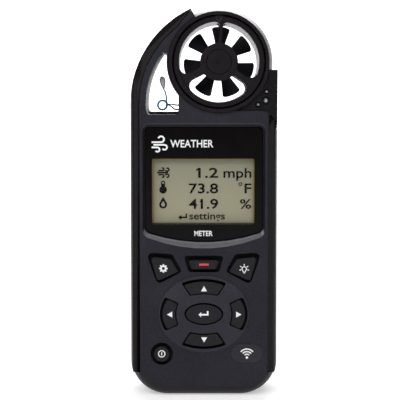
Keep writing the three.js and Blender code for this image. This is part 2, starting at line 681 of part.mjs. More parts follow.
function rotorGeometry() {
  const { hubFront, hubBack, hub, blades } = ROTOR;
  let rotor = solid(washer(AXLE_R + FIT, hub, hubFront, hubBack));
  for (let i = 0; i < blades; i += 1) rotor = rotor.add(bladeSolid((i / blades) * 2 * Math.PI));
  const reach = solid(pin(0, 0, ROTOR.tip, -12, 2, ROUND));
  const bore = solid(pin(0, 0, AXLE_R + FIT, -12, 2, ROUND));
  return geometryOf(rotor.intersect(reach).subtract(bore));
}

// ---------------------------------------------------------------- battery compartment

function doorGeometry() {
  const { half, bottom, top, front, axisY, axisZ, barrel } = DOOR;
  let door = solid(slab(rectangle(-half, half, bottom, top, 1.4), front, BACK_Y));
  door = door.add(solid(block([-half + 1, axisY - 0.4, top - 2], [half - 1, BACK_Y - 0.1, axisZ])));
  door = door.add(solid(alongX(pin(axisY, axisZ, barrel, -half + 0.4, half - 0.4, 20))));
  door = door.subtract(solid(alongX(pin(axisY, axisZ, 0.8, -half - 1, half + 1, 12))));
  door = door.subtract(solid(pin(0, DOOR_SCREW_Z, 1.4, front - 1, BACK_Y + 1)));
  return geometryOf(door.subtract(solid(pin(0, DOOR_SCREW_Z, 2.7, front + 0.5, BACK_Y + 1, 20))));
}

function doorScrewGeometry() {
  const head = turned([[0, -4], [0.9, -4], [0.9, -0.2], [2.4, -0.2], [2.4, 0.8], [0, 0.8]], 20);
  const slot = block([-1.9, 0.3, -0.35], [1.9, 1, 0.35]);
  return geometryOf(solid(head).subtract(solid(slot)));
}

// The spring that presses on the flat end of the cell.
function springGeometry() {
  const turns = 3;
  const stepsPerTurn = 12;
  const [wideRadius, narrowRadius] = [3.6, 2.5];
  const [low, high] = [WELL.bottom + 0.5, CELL.z - 0.4];
  const points = [];
  for (let i = 0; i <= turns * stepsPerTurn; i += 1) {
    const share = i / (turns * stepsPerTurn);
    const angle = share * turns * 2 * Math.PI;
    const radius = THREE.MathUtils.lerp(wideRadius, narrowRadius, share);
    const z = THREE.MathUtils.lerp(low, high, share);
    points.push([radius * Math.cos(angle), CELL.y + radius * Math.sin(angle), z]);
  }
  return wire(points, 0.3, turns * stepsPerTurn);
}

function cellGeometry() {
  const { r, length, nub, nubLength } = CELL;
  const end = length + nubLength;
  return turned([[0, 0], [r, 0], [r, length], [nub, length], [nub, end], [0, end]]);
}

// ---------------------------------------------------------------- fasteners

function screwGeometry() {
  const head = SCREW_HEAD_R;
  const screw = turned([[0, -20], [0.8, -20], [0.8, -1.2], [head, -1.2], [head, 0], [0, 0]], SMALL_ROUND);
  const crossA = block([-1.1, -0.5, -0.22], [1.1, 1, 0.22]);
  const crossB = block([-0.22, -0.5, -1.1], [0.22, 1, 1.1]);
  return geometryOf(solid(screw).subtract(solid(crossA)).subtract(solid(crossB)));
}

function grilleGeometry() {
  let plate = solid(slab(rectangle(-2.7, 2.7, -1.8, 1.8, 1), 0, 0.7));
  for (let i = -2; i <= 2; i += 1) {
    const x = i * 0.9;
    plate = plate.subtract(solid(block([x - 0.2, -1, -1], [x + 0.2, 1, 1])));
  }
  return geometryOf(plate);
}

// ---------------------------------------------------------------- materials

function material(color, roughness, metalness = 0) {
  return new THREE.MeshStandardMaterial({ color, roughness, metalness });
}

const facePlastic = material(0x2d2c33, 0.55);
const smoothPlastic = material(0x201d22, 0.35);
const gripRubber = material(0x1a1318, 0.6);
const sealRubber = material(0x141416, 0.85);
const keyRubber = material(0x2a282e, 0.6);
const lensAcrylic = material(0x131111, 0.08);
const panelGlass = material(0x9c9a81, 0.25);
const guideAcrylic = material(0xe8e6da, 0.3);
const boardLaminate = material(0x1e5a33, 0.5);
const chipEpoxy = material(0x161617, 0.5);
const steel = material(0xb9bcc0, 0.3, 1);
const brass = material(0xb8974a, 0.35, 1);
const gold = material(0xcaa45a, 0.3, 1);
const cellJacket = material(0x6b7076, 0.4);
const beadGlass = material(0xc3c6cb, 0.25);
const leadBlue = material(0x306897, 0.4);
const leadNavy = material(0x1b2436, 0.45);
const magnetBlack = material(0x2b2b2d, 0.4, 0.6);
const coilCopper = material(0xa4542b, 0.35, 0.8);
const badgePlastic = material(0x393a3e, 0.5);
const clearPolyester = material(0xcfd2d6, 0.4);

// ---------------------------------------------------------------- assembly

const meter = new THREE.Group();

function part(name, geometry, finish, parent = meter) {
  const mesh = new THREE.Mesh(geometry, finish);
  mesh.name = name;
  parent.add(mesh);
  return mesh;
}

function groupAt(x, y, z) {
  const group = new THREE.Group();
  group.position.set(x, y, z);
  meter.add(group);
  return group;
}

// Shells, grips and seal.
const body = bodySolid();
part('front_housing', frontHousing(body), facePlastic);
part('rear_housing', rearHousing(body), facePlastic);
part('left_grip', gripGeometry(leftGripShape()), gripRubber);
part('right_grip', gripGeometry(rightGripShape()), gripRubber);
part('housing_gasket', gasketGeometry(), sealRubber);

// Display and electronics.
part('display_lens', slab(displayShape(LENS), LENS.front, LENS.back), lensAcrylic);
part('lcd_panel', block(
  [PANEL.left, PANEL.front, PANEL.bottom],
  [PANEL.right, PANEL.back, PANEL.top]), panelGlass);
part('light_guide', block([-17, -7.7, 56.4], [16.6, -6.8, 80.2]), guideAcrylic);
part('lcd_connector', block([-15, -7.8, 54.1], [15, BOARD.front, 55.6]), sealRubber);
part('main_board', block(
  [-BOARD.half, BOARD.front, BOARD.bottom],
  [BOARD.half, BOARD.back, BOARD.top]), boardLaminate);
part('keypad_membrane', membraneGeometry(), sealRubber);
part('dome_sheet', domeSheetGeometry(), clearPolyester);
part('processor_chip', block([-16.6, BOARD.back, 40], [-10.4, -4.4, 46]), chipEpoxy);
part('radio_module', block([10.3, BOARD.back, 20], [17, -3.6, 31]), steel);
part('pressure_sensor', block([11.5, BOARD.back, 74], [14.5, -4.2, 77]), steel);
part('humidity_sensor', block([-12, BOARD.back, 80.6], [-9.4, -4.3, 83]), chipEpoxy);
part('wind_pickup_coil', washer(0.8, 2, 0, 3, SMALL_ROUND), coilCopper)
  .position.set(DUCT_X, BOARD.back, 81.5);
part('vent_grille', grilleGeometry(), smoothPlastic).position.set(-10.5, 13.2, 85);

// Keys and badge.
for (const key of KEYS) part(key.name, keyGeometry(key), keyRubber);
part('wireless_badge', slab(rectangle(9.04, 19.24, 11.14, 17.14, 2.9), PAD.front, FACE_Y), badgePlastic);

// Contact pins in their sockets.
SOCKETS.forEach(([x, z, radius], i) => {
  const pinRadius = radius / 2;
  const back = SOCKET_DEPTH;
  const tip = back - 1;
  const profile = [[0, tip], [pinRadius * 0.6, tip], [pinRadius, tip + 0.3], [pinRadius, back], [0, back]];
  part(`contact_pin_${i + 1}`, turned(profile, SMALL_ROUND), gold).position.set(x, HEAD_FACE_Y, z);
});

// Air temperature sensor.
part('thermistor_bead', beadGeometry(), beadGlass).position.set(-13.5, -1.6, 102.9);
part('thermistor_lead_blue', leadGeometry({ y: -1.9, turns: 2, wallZ: 95.4, radius: 0.27 }), leadBlue);
part('thermistor_lead_navy', leadGeometry({ y: -1.9 + 2.4, turns: 1, wallZ: 93.9, radius: 0.24 }), leadNavy);
part('thermistor_terminal', block(
  [TERMINAL.left, TERMINAL.front, TERMINAL.bottom],
  [TERMINAL.right, TERMINAL.back, TERMINAL.top]), smoothPlastic);

// Impeller module, turned a little in its bore.
const wind = groupAt(DUCT_X, 0, DUCT_Z);
wind.rotation.y = MODULE_TURN;
part('module_guard', guardGeometry(), smoothPlastic, wind);
part('module_sleeve', sleeveGeometry(), smoothPlastic, wind);
const capProfile = [[0, -12.3], [GUARD.cap, -12.3], [GUARD.cap, -11.6], [0, -11.6]];
part('guard_cap', turned(capProfile), smoothPlastic, wind);
part('impeller', rotorGeometry(), smoothPlastic, wind);
part('impeller_axle', pin(0, 0, AXLE_R, -10.9, 3.1, 12), steel, wind);
part('front_bearing', washer(AXLE_R + FIT, 1.5, -11, -10, SMALL_ROUND), gold, wind);
part('rear_bearing', washer(AXLE_R + FIT, 1.5, 1.4, 3.2, SMALL_ROUND), gold, wind);
part('rotor_magnet', washer(1.1, 2.6, ROTOR.hubBack, ROTOR.hubBack + 1.6, 24), magnetBlack, wind);

// Battery compartment.
const cell = part('battery_cell', cellGeometry(), cellJacket);
cell.rotation.x = Math.PI / 2;
cell.position.set(0, CELL.y, CELL.z);
part('battery_spring', springGeometry(), steel);
part('battery_contact', block([-4, 1, 66.3], [4, 9, 66.8]), steel);
part('battery_door', doorGeometry(), facePlastic);
part('door_hinge_pin', alongX(pin(DOOR.axisY, DOOR.axisZ, 0.5, -11.6, 11.6, 12)), steel);
part('door_screw', doorScrewGeometry(), steel).position.set(0, 13.1, DOOR_SCREW_Z);
part('door_insert', washer(1.3, 1.9, 8.4, 12, SMALL_ROUND), brass).position.set(0, 0, DOOR_SCREW_Z);
const seal = rectangle(-10, 10, 11.8, 68, 1);
seal.holes.push(rectangle(-9, 9, 12.8, 67, 1));
part('door_seal', slab(seal, 12, 12.4), sealRubber);

// Tripod bush and housing screws.
part('tripod_bush', washer(TRIPOD.bore, TRIPOD.outer, TRIPOD.front, BACK_Y, 24), brass)
  .position.set(0, 0, TRIPOD.z);
SCREWS.forEach(([x, z], i) => {
  part(`housing_screw_${i + 1}`, screwGeometry(), steel).position.set(x, SCREW_HEAD_Y, z);
});

export default meter;
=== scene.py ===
# %% [markdown]
# # Dressing a handheld weather meter
#
# The meter is a slim black shell with a wind duct at its head, a display in the middle and nine
# rubber keys below. Its shapes, sizes and joints come from a CAD frame that never moves. This
# lesson adds what the frame leaves out: rounded edges, the small printed and moulded details, and
# a finish for every surface. Shapes are built in millimetres and scaled to metres as they are placed.

import json
import math

import bmesh
import bpy
from mathutils import Matrix, Vector

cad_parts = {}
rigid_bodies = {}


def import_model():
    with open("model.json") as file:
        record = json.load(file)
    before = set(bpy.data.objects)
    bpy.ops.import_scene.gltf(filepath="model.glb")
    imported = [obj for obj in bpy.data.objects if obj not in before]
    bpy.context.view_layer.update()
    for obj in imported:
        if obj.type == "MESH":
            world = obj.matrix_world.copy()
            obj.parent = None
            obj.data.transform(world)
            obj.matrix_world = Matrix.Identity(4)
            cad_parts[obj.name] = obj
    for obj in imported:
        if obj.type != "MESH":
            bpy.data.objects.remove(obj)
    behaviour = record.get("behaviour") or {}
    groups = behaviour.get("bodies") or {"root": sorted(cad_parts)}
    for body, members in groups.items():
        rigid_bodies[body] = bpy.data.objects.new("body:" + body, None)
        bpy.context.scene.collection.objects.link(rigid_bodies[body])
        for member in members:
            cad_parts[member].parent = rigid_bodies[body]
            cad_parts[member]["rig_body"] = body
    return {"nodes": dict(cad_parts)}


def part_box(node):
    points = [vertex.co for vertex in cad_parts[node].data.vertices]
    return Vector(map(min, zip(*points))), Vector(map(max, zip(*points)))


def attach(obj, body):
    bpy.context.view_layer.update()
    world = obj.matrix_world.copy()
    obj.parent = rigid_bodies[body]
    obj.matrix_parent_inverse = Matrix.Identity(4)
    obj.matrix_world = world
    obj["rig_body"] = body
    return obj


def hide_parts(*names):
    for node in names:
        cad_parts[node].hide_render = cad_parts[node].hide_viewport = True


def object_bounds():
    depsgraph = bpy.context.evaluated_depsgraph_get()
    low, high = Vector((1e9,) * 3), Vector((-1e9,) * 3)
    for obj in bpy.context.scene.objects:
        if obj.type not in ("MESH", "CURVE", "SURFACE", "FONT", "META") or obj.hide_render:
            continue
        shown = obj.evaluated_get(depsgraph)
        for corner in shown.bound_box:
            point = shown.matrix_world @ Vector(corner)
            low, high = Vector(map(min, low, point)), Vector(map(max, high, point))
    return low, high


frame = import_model()
cad_low, cad_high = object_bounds()
MM = 0.001


# %% [markdown]
# ## Places taken from the frame
#
# Most places are measured on the frame, so that a piece goes where the CAD put it. `corners` gives a
# node's box in millimetres, and the wind duct's axis is the middle of the guard's box. Three values
# are the CAD's own: how far the module is turned in its bore, the bore's radius and the face's depth.

# %% Measure the frame
def corners(node):
    low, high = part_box(node)
    return low / MM, high / MM


def middle(node):
    low, high = corners(node)
    return (low + high) / 2


guard_low, guard_high = corners("module_guard")
duct = middle("module_guard")
DUCT_X, DUCT_Z = duct.x, duct.z
MODULE_R = (guard_high.x - guard_low.x) / 2
MODULE_TURN = math.radians(3.5)
DUCT_R = 15.25
FACE_Y = -12.8
print("duct axis at", round(DUCT_X, 2), round(DUCT_Z, 2), "module radius", round(MODULE_R, 2))


# %% [markdown]
# ## Colours and one way to lay out a material
#
# Colours are easier to judge as screen values, so `tint` turns 0-255 screen values into the linear
# values that the shader needs. Each material below is written out node by node, with the nodes
# grouped in labelled frames, as the node editor shows them.

# %% Colour helper
def tint(red, green, blue):
    def linear(value):
        value /= 255
        return value / 12.92 if value <= 0.04045 else ((value + 0.055) / 1.055) ** 2.4
    return (linear(red), linear(green), linear(blue), 1)


def new_material(name):
    material = bpy.data.materials.new(name)
    material.use_nodes = True
    material.node_tree.nodes.clear()
    return material, material.node_tree.nodes, material.node_tree.links


NODE_GAP = 260


def arrange(groups):
    """Put each group's nodes in its frame, one column after another."""
    column = 0
    for group, members in groups.items():
        for row, node in enumerate(members):
            node.parent = group
            node.location = (column, -NODE_GAP * row)
        column += NODE_GAP


print("a mid grey of 128 is", round(tint(128, 128, 128)[0], 3), "in linear light")


# %% [markdown]
# ## Moulded plastic
#
# The shells are moulded in black plastic, and the mould's surface was spark eroded to a fine pebbled
# grain. The grain is a cell pattern broken up by noise and fed to a bump. Real mouldings are never one
# tone, so a slow cloud shifts the colour and the gloss. Corners are painted lighter, a painted highlight,
# and made a little smoother: a bevel node finds them, because its normal leans away from the face's own.
# Faces sunk behind the face plate are painted darker, as painted shade in the wells.

# %% Moulded plastic
def moulded_plastic(name, colour, grain, depth, roughness, corner_highlight=0.35, wells=0.15):
    material, nodes, links = new_material(name)
    place = nodes.new("ShaderNodeTexCoord")
    place.label = "Place on the piece"
    pebbles = nodes.new("ShaderNodeTexVoronoi")
    pebbles.label = "Pebbles of the grain"
    pebbles.feature = "SMOOTH_F1"
    pebbles.inputs["Scale"].default_value = 1 / (grain * MM)
    pebbles.inputs["Smoothness"].default_value = 0.6
    grit = nodes.new("ShaderNodeTexNoise")
    grit.label = "Grit between the pebbles"
    grit.inputs["Scale"].default_value = 2.3 / (grain * MM)
    grit.inputs["Detail"].default_value = 3
    relief = nodes.new("ShaderNodeMix")
    relief.label = "Pebbles broken by grit"
    relief.inputs["Factor"].default_value = 0.45
    bump = nodes.new("ShaderNodeBump")
    bump.label = "Grain relief"
    bump.inputs["Distance"].default_value = depth * MM
    cloud = nodes.new("ShaderNodeTexNoise")
    cloud.label = "Flow clouds of the moulding"
    cloud.inputs["Scale"].default_value = 55
    cloud.inputs["Detail"].default_value = 4
    tone = nodes.new("ShaderNodeValToRGB")
    tone.label = "Darker and lighter clouds"
    tone.color_ramp.elements[0].position = 0.3
    tone.color_ramp.elements[0].color = [0.80 * c for c in colour[:3]] + [1]
    tone.color_ramp.elements[1].position = 0.72
    tone.color_ramp.elements[1].color = [1.22 * c for c in colour[:3]] + [1]
    # The tone is scaled by the grain's relief: lighter where it is low, darker where it is high.
    pits = nodes.new("ShaderNodeMapRange")
    pits.label = "Tone follows the grain"
    pits.inputs["To Min"].default_value = 1.5
    pits.inputs["To Max"].default_value = 0.6
    speckle = nodes.new("ShaderNodeVectorMath")
    speckle.label = "Grain shows in the tone"
    speckle.operation = "SCALE"
    # Painted highlight: the corners that the bevel node finds are painted lighter and made a little
    # smoother.
    corner = nodes.new("ShaderNodeBevel")
    corner.label = "Normal at corners"
    corner.samples = 4
    corner.inputs["Radius"].default_value = 0.35 * MM
    flat = nodes.new("ShaderNodeNewGeometry")
    flat.label = "The face's own normal"
    lean = nodes.new("ShaderNodeVectorMath")
    lean.label = "How far they agree"
    lean.operation = "DOT_PRODUCT"
    corner_highlight_mask = nodes.new("ShaderNodeMapRange")
    corner_highlight_mask.label = "Painted corner highlight"
    corner_highlight_mask.inputs["From Min"].default_value = 0.99
    corner_highlight_mask.inputs["From Max"].default_value = 0.8
    corner_highlight_mask.inputs["To Max"].default_value = corner_highlight
    # Lighter colour on the corners is a painted highlight.
    highlit_corners = nodes.new("ShaderNodeMix")
    highlit_corners.label = "Corners painted lighter"
    highlit_corners.data_type = "RGBA"
    highlit_corners.inputs["B"].default_value = [2.2 * c for c in colour[:3]] + [1]
    axes = nodes.new("ShaderNodeSeparateXYZ")
    axes.label = "Depth behind the face"
    # Painted shade: faces deeper than the face plate are darkened to the factor wells, as shade in the
    # wells and recesses.
    deep = nodes.new("ShaderNodeMapRange")
    deep.label = "Painted shade in the wells"
    deep.inputs["From Min"].default_value = (FACE_Y + 0.25) * MM
    deep.inputs["From Max"].default_value = (FACE_Y + 0.6) * MM
    deep.inputs["To Min"].default_value = 1.0
    deep.inputs["To Max"].default_value = wells
    shaded_wells = nodes.new("ShaderNodeVectorMath")
    shaded_wells.label = "Tone in the wells"
    shaded_wells.operation = "SCALE"
    sheen = nodes.new("ShaderNodeMapRange")
    sheen.label = "Gloss of the clouds"
    sheen.inputs["To Min"].default_value = roughness - 0.07
    sheen.inputs["To Max"].default_value = roughness + 0.08
    polish = nodes.new("ShaderNodeMath")
    polish.label = "Corners smoother"
    polish.operation = "SUBTRACT"
    shader = nodes.new("ShaderNodeBsdfPrincipled")
    shader.label = "Black moulded plastic"
    shader.inputs["Specular IOR Level"].default_value = 0.14
    out = nodes.new("ShaderNodeOutputMaterial")
    out.label = "Surface"
    where, relief_frame, tone_frame, corner_highlight_frame, result = (nodes.new("NodeFrame") for _ in range(5))
    where.label = "Where"
    relief_frame.label = "Grain"
    tone_frame.label = "Tone and gloss"
    corner_highlight_frame.label = "Painted corner highlight"
    result.label = "Result"
    arrange({where: [place], relief_frame: [pebbles, grit, relief, bump],
             tone_frame: [cloud, tone, pits, speckle, axes, deep, shaded_wells, sheen],
             corner_highlight_frame: [corner, flat, lean, corner_highlight_mask, highlit_corners, polish], result: [shader, out]})
    for texture in (pebbles, grit, cloud):
        links.new(place.outputs["Object"], texture.inputs["Vector"])
    links.new(pebbles.outputs["Distance"], relief.inputs["A"])
    links.new(grit.outputs["Fac"], relief.inputs["B"])
    links.new(relief.outputs["Result"], bump.inputs["Height"])
    links.new(cloud.outputs["Fac"], tone.inputs["Fac"])
    links.new(relief.outputs["Result"], pits.inputs["Value"])
    links.new(tone.outputs["Color"], speckle.inputs["Vector"])
    links.new(pits.outputs["Result"], speckle.inputs["Scale"])
    links.new(corner.outputs["Normal"], lean.inputs[0])
    links.new(flat.outputs["Normal"], lean.inputs[1])
    links.new(lean.outputs["Value"], corner_highlight_mask.inputs["Value"])
    links.new(corner_highlight_mask.outputs["Result"], highlit_corners.inputs["Factor"])
    links.new(place.outputs["Object"], axes.inputs["Vector"])
    links.new(axes.outputs["Y"], deep.inputs["Value"])
    links.new(speckle.outputs["Vector"], shaded_wells.inputs["Vector"])
    links.new(deep.outputs["Result"], shaded_wells.inputs["Scale"])
    links.new(shaded_wells.outputs["Vector"], highlit_corners.inputs["A"])
    links.new(cloud.outputs["Fac"], sheen.inputs["Value"])
    links.new(sheen.outputs["Result"], polish.inputs[0])
    links.new(corner_highlight_mask.outputs["Result"], polish.inputs[1])
    links.new(highlit_corners.outputs["Result"], shader.inputs["Base Color"])
    links.new(polish.outputs["Value"], shader.inputs["Roughness"])
    links.new(bump.outputs["Normal"], shader.inputs["Normal"])
    links.new(shader.outputs["BSDF"], out.inputs["Surface"])
    return material


# %% [markdown]
# ## Rubber
#
# The side grips, the keys and the seals are rubber. It is duller than the shell, with a very fine
# matt tooth and faint streaks along its length where it flowed, and it reflects very little.

# %% Rubber
def soft_rubber(name, colour, tooth, depth, roughness, streak=(1, 1, 0.12), rib=0.0):
    material, nodes, links = new_material(name)
    place = nodes.new("ShaderNodeTexCoord")
    place.label = "Place on the piece"
    drawn = nodes.new("ShaderNodeMapping")
    drawn.label = "Stretched along the flow"
    drawn.inputs["Scale"].default_value = streak
    nap = nodes.new("ShaderNodeTexNoise")
    nap.label = "Matt tooth"
    nap.inputs["Scale"].default_value = 1 / (tooth * MM)
    nap.inputs["Detail"].default_value = 5
    nap.inputs["Roughness"].default_value = 0.65
    flow = nodes.new("ShaderNodeTexNoise")
    flow.label = "Flow streaks"
    flow.inputs["Scale"].default_value = 900
    flow.inputs["Detail"].default_value = 3
    bump = nodes.new("ShaderNodeBump")
    bump.label = "Tooth relief"
    bump.inputs["Distance"].default_value = depth * MM
    tone = nodes.new("ShaderNodeValToRGB")
    tone.label = "Streaks in the tone"
    tone.color_ramp.elements[0].position = 0.35
    tone.color_ramp.elements[0].color = [0.78 * c for c in colour[:3]] + [1]
    tone.color_ramp.elements[1].position = 0.7
    tone.color_ramp.elements[1].color = [1.2 * c for c in colour[:3]] + [1]
    gloss = nodes.new("ShaderNodeMapRange")
    gloss.label = "Handled patches"
    ribs = nodes.new("ShaderNodeTexWave")
    ribs.label = "Moulded ribs"
    ribs.bands_direction = "Z"
    ribs.inputs["Scale"].default_value = 0.314 / (0.7 * MM)
    ribs.inputs["Distortion"].default_value = 0.0
    ribbed = nodes.new("ShaderNodeBump")
    ribbed.label = "Ribs in relief"
    ribbed.inputs["Distance"].default_value = rib * MM
    gloss.inputs["To Min"].default_value = roughness - 0.08
    gloss.inputs["To Max"].default_value = roughness + 0.08
    shader = nodes.new("ShaderNodeBsdfPrincipled")
    shader.label = "Rubber"
    shader.inputs["Specular IOR Level"].default_value = 0.2
    out = nodes.new("ShaderNodeOutputMaterial")
    out.label = "Surface"
    where, relief_frame, tone_frame, result = (nodes.new("NodeFrame") for _ in range(4))
    where.label = "Where"
    relief_frame.label = "Tooth"
    tone_frame.label = "Streaks"
    result.label = "Result"
    arrange({where: [place, drawn], relief_frame: [nap, bump, ribs, ribbed],
             tone_frame: [flow, tone, gloss], result: [shader, out]})
    links.new(place.outputs["Object"], nap.inputs["Vector"])
    links.new(place.outputs["Object"], drawn.inputs["Vector"])
    links.new(drawn.outputs["Vector"], flow.inputs["Vector"])
    links.new(nap.outputs["Fac"], bump.inputs["Height"])
    links.new(place.outputs["Object"], ribs.inputs["Vector"])
    links.new(ribs.outputs["Fac"], ribbed.inputs["Height"])
    links.new(ribbed.outputs["Normal"], bump.inputs["Normal"])
    links.new(flow.outputs["Fac"], tone.inputs["Fac"])
    links.new(nap.outputs["Fac"], gloss.inputs["Value"])
    links.new(tone.outputs["Color"], shader.inputs["Base Color"])
    links.new(gloss.outputs["Result"], shader.inputs["Roughness"])
    links.new(bump.outputs["Normal"], shader.inputs["Normal"])
    links.new(shader.outputs["BSDF"], out.inputs["Surface"])
    return material


# %% [markdown]
# ## Satin plastic, ink and enamel
#
# The impeller and its guard come from a polished mould: satin, with faint flow waves rather than
# grain. Printed ink and the enamel on the sensor's leads are the same make-up at another scale, a
# smooth skin with slight unevenness, so one function serves them with a coat weight of its own.

# %% Satin plastic
def satin_skin(name, colour, wave, depth, roughness, coat=0.0, spread=0.15, gleam=0.5, glow=0.0):
    material, nodes, links = new_material(name)
    place = nodes.new("ShaderNodeTexCoord")
    place.label = "Place on the piece"
    waves = nodes.new("ShaderNodeTexNoise")
    waves.label = "Unevenness of the skin"
    waves.inputs["Scale"].default_value = 1 / (wave * MM)
    waves.inputs["Detail"].default_value = 4
    waves.inputs["Distortion"].default_value = 0.4
    bump = nodes.new("ShaderNodeBump")
    bump.label = "Skin relief"
    bump.inputs["Distance"].default_value = depth * MM
    tone = nodes.new("ShaderNodeValToRGB")
    tone.label = "Thin and thick skin"
    tone.color_ramp.elements[0].position = 0.3
    tone.color_ramp.elements[0].color = [(1 - spread) * c for c in colour[:3]] + [1]
    tone.color_ramp.elements[1].position = 0.7
    tone.color_ramp.elements[1].color = [min(1, (1 + spread) * c) for c in colour[:3]] + [1]
    gloss = nodes.new("ShaderNodeMapRange")
    gloss.label = "Gloss varies"
    gloss.inputs["To Min"].default_value = roughness * 0.8
    gloss.inputs["To Max"].default_value = roughness * 1.25
    shader = nodes.new("ShaderNodeBsdfPrincipled")
    shader.label = "Satin skin"
    shader.inputs["Specular IOR Level"].default_value = gleam
    shader.inputs["Subsurface Weight"].default_value = glow
    shader.inputs["Subsurface Radius"].default_value = (1, 1, 1)
    shader.inputs["Subsurface Scale"].default_value = 1.2 * MM
    shader.inputs["Coat Weight"].default_value = coat
    shader.inputs["Coat Roughness"].default_value = 0.08
    out = nodes.new("ShaderNodeOutputMaterial")
    out.label = "Surface"
    where, skin, result = (nodes.new("NodeFrame") for _ in range(3))
    where.label = "Where"
    skin.label = "Skin"
    result.label = "Result"
    arrange({where: [place], skin: [waves, bump, tone, gloss], result: [shader, out]})
    links.new(place.outputs["Object"], waves.inputs["Vector"])
    links.new(waves.outputs["Fac"], bump.inputs["Height"])
    links.new(waves.outputs["Fac"], tone.inputs["Fac"])
    links.new(waves.outputs["Fac"], gloss.inputs["Value"])
    links.new(tone.outputs["Color"], shader.inputs["Base Color"])
    links.new(gloss.outputs["Result"], shader.inputs["Roughness"])
    links.new(bump.outputs["Normal"], shader.inputs["Normal"])
    links.new(shader.outputs["BSDF"], out.inputs["Surface"])
    return material


# %% [markdown]
# ## Metal
#
# Screws, springs, pins and the tripod bush are turned or drawn metal. Fine scratches run round or
# along the piece, so the noise is squeezed across them, and dull patches of handling raise the
# roughness here and there.

# %% Metal
def worked_metal(name, colour, roughness, lay=(1, 14, 1)):
    material, nodes, links = new_material(name)
    place = nodes.new("ShaderNodeTexCoord")
    place.label = "Place on the piece"
    along = nodes.new("ShaderNodeMapping")
    along.label = "Squeezed across the tool marks"
    along.inputs["Scale"].default_value = lay
    marks = nodes.new("ShaderNodeTexNoise")
    marks.label = "Tool marks"
    marks.inputs["Scale"].default_value = 1500
    marks.inputs["Detail"].default_value = 3
    bump = nodes.new("ShaderNodeBump")
    bump.label = "Marks in relief"
    bump.inputs["Distance"].default_value = 0.006 * MM
    smudge = nodes.new("ShaderNodeTexNoise")
    smudge.label = "Dull smudges"
    smudge.inputs["Scale"].default_value = 350
    gloss = nodes.new("ShaderNodeMapRange")
    gloss.label = "Roughness of the smudges"
    gloss.inputs["To Min"].default_value = roughness * 0.6
    gloss.inputs["To Max"].default_value = roughness * 1.6
    tone = nodes.new("ShaderNodeValToRGB")
    tone.label = "Tarnish"
    tone.color_ramp.elements[0].color = [0.6 * c for c in colour[:3]] + [1]
    tone.color_ramp.elements[1].position = 0.55
    tone.color_ramp.elements[1].color = colour
    shader = nodes.new("ShaderNodeBsdfPrincipled")
    shader.label = "Metal"
    shader.inputs["Metallic"].default_value = 1
    out = nodes.new("ShaderNodeOutputMaterial")
    out.label = "Surface"
    where, tooling, dulling, result = (nodes.new("NodeFrame") for _ in range(4))
    where.label = "Where"
    tooling.label = "Tool marks"
    dulling.label = "Smudges"
    result.label = "Result"
    arrange({where: [place, along], tooling: [marks, bump], dulling: [smudge, gloss, tone],
             result: [shader, out]})
    links.new(place.outputs["Object"], along.inputs["Vector"])
    links.new(place.outputs["Object"], smudge.inputs["Vector"])
    links.new(along.outputs["Vector"], marks.inputs["Vector"])
    links.new(marks.outputs["Fac"], bump.inputs["Height"])
    links.new(smudge.outputs["Fac"], gloss.inputs["Value"])
    links.new(smudge.outputs["Fac"], tone.inputs["Fac"])
    links.new(tone.outputs["Color"], shader.inputs["Base Color"])
    links.new(gloss.outputs["Result"], shader.inputs["Roughness"])
    links.new(bump.outputs["Normal"], shader.inputs["Normal"])
    links.new(shader.outputs["BSDF"], out.inputs["Surface"])
    return material


# %% [markdown]
# ## Display film
#
# The display is a reflective film with an amber edge where the film ends. It reads its place in X and
# Z, and soft steps turn the distance from each edge into a mask.

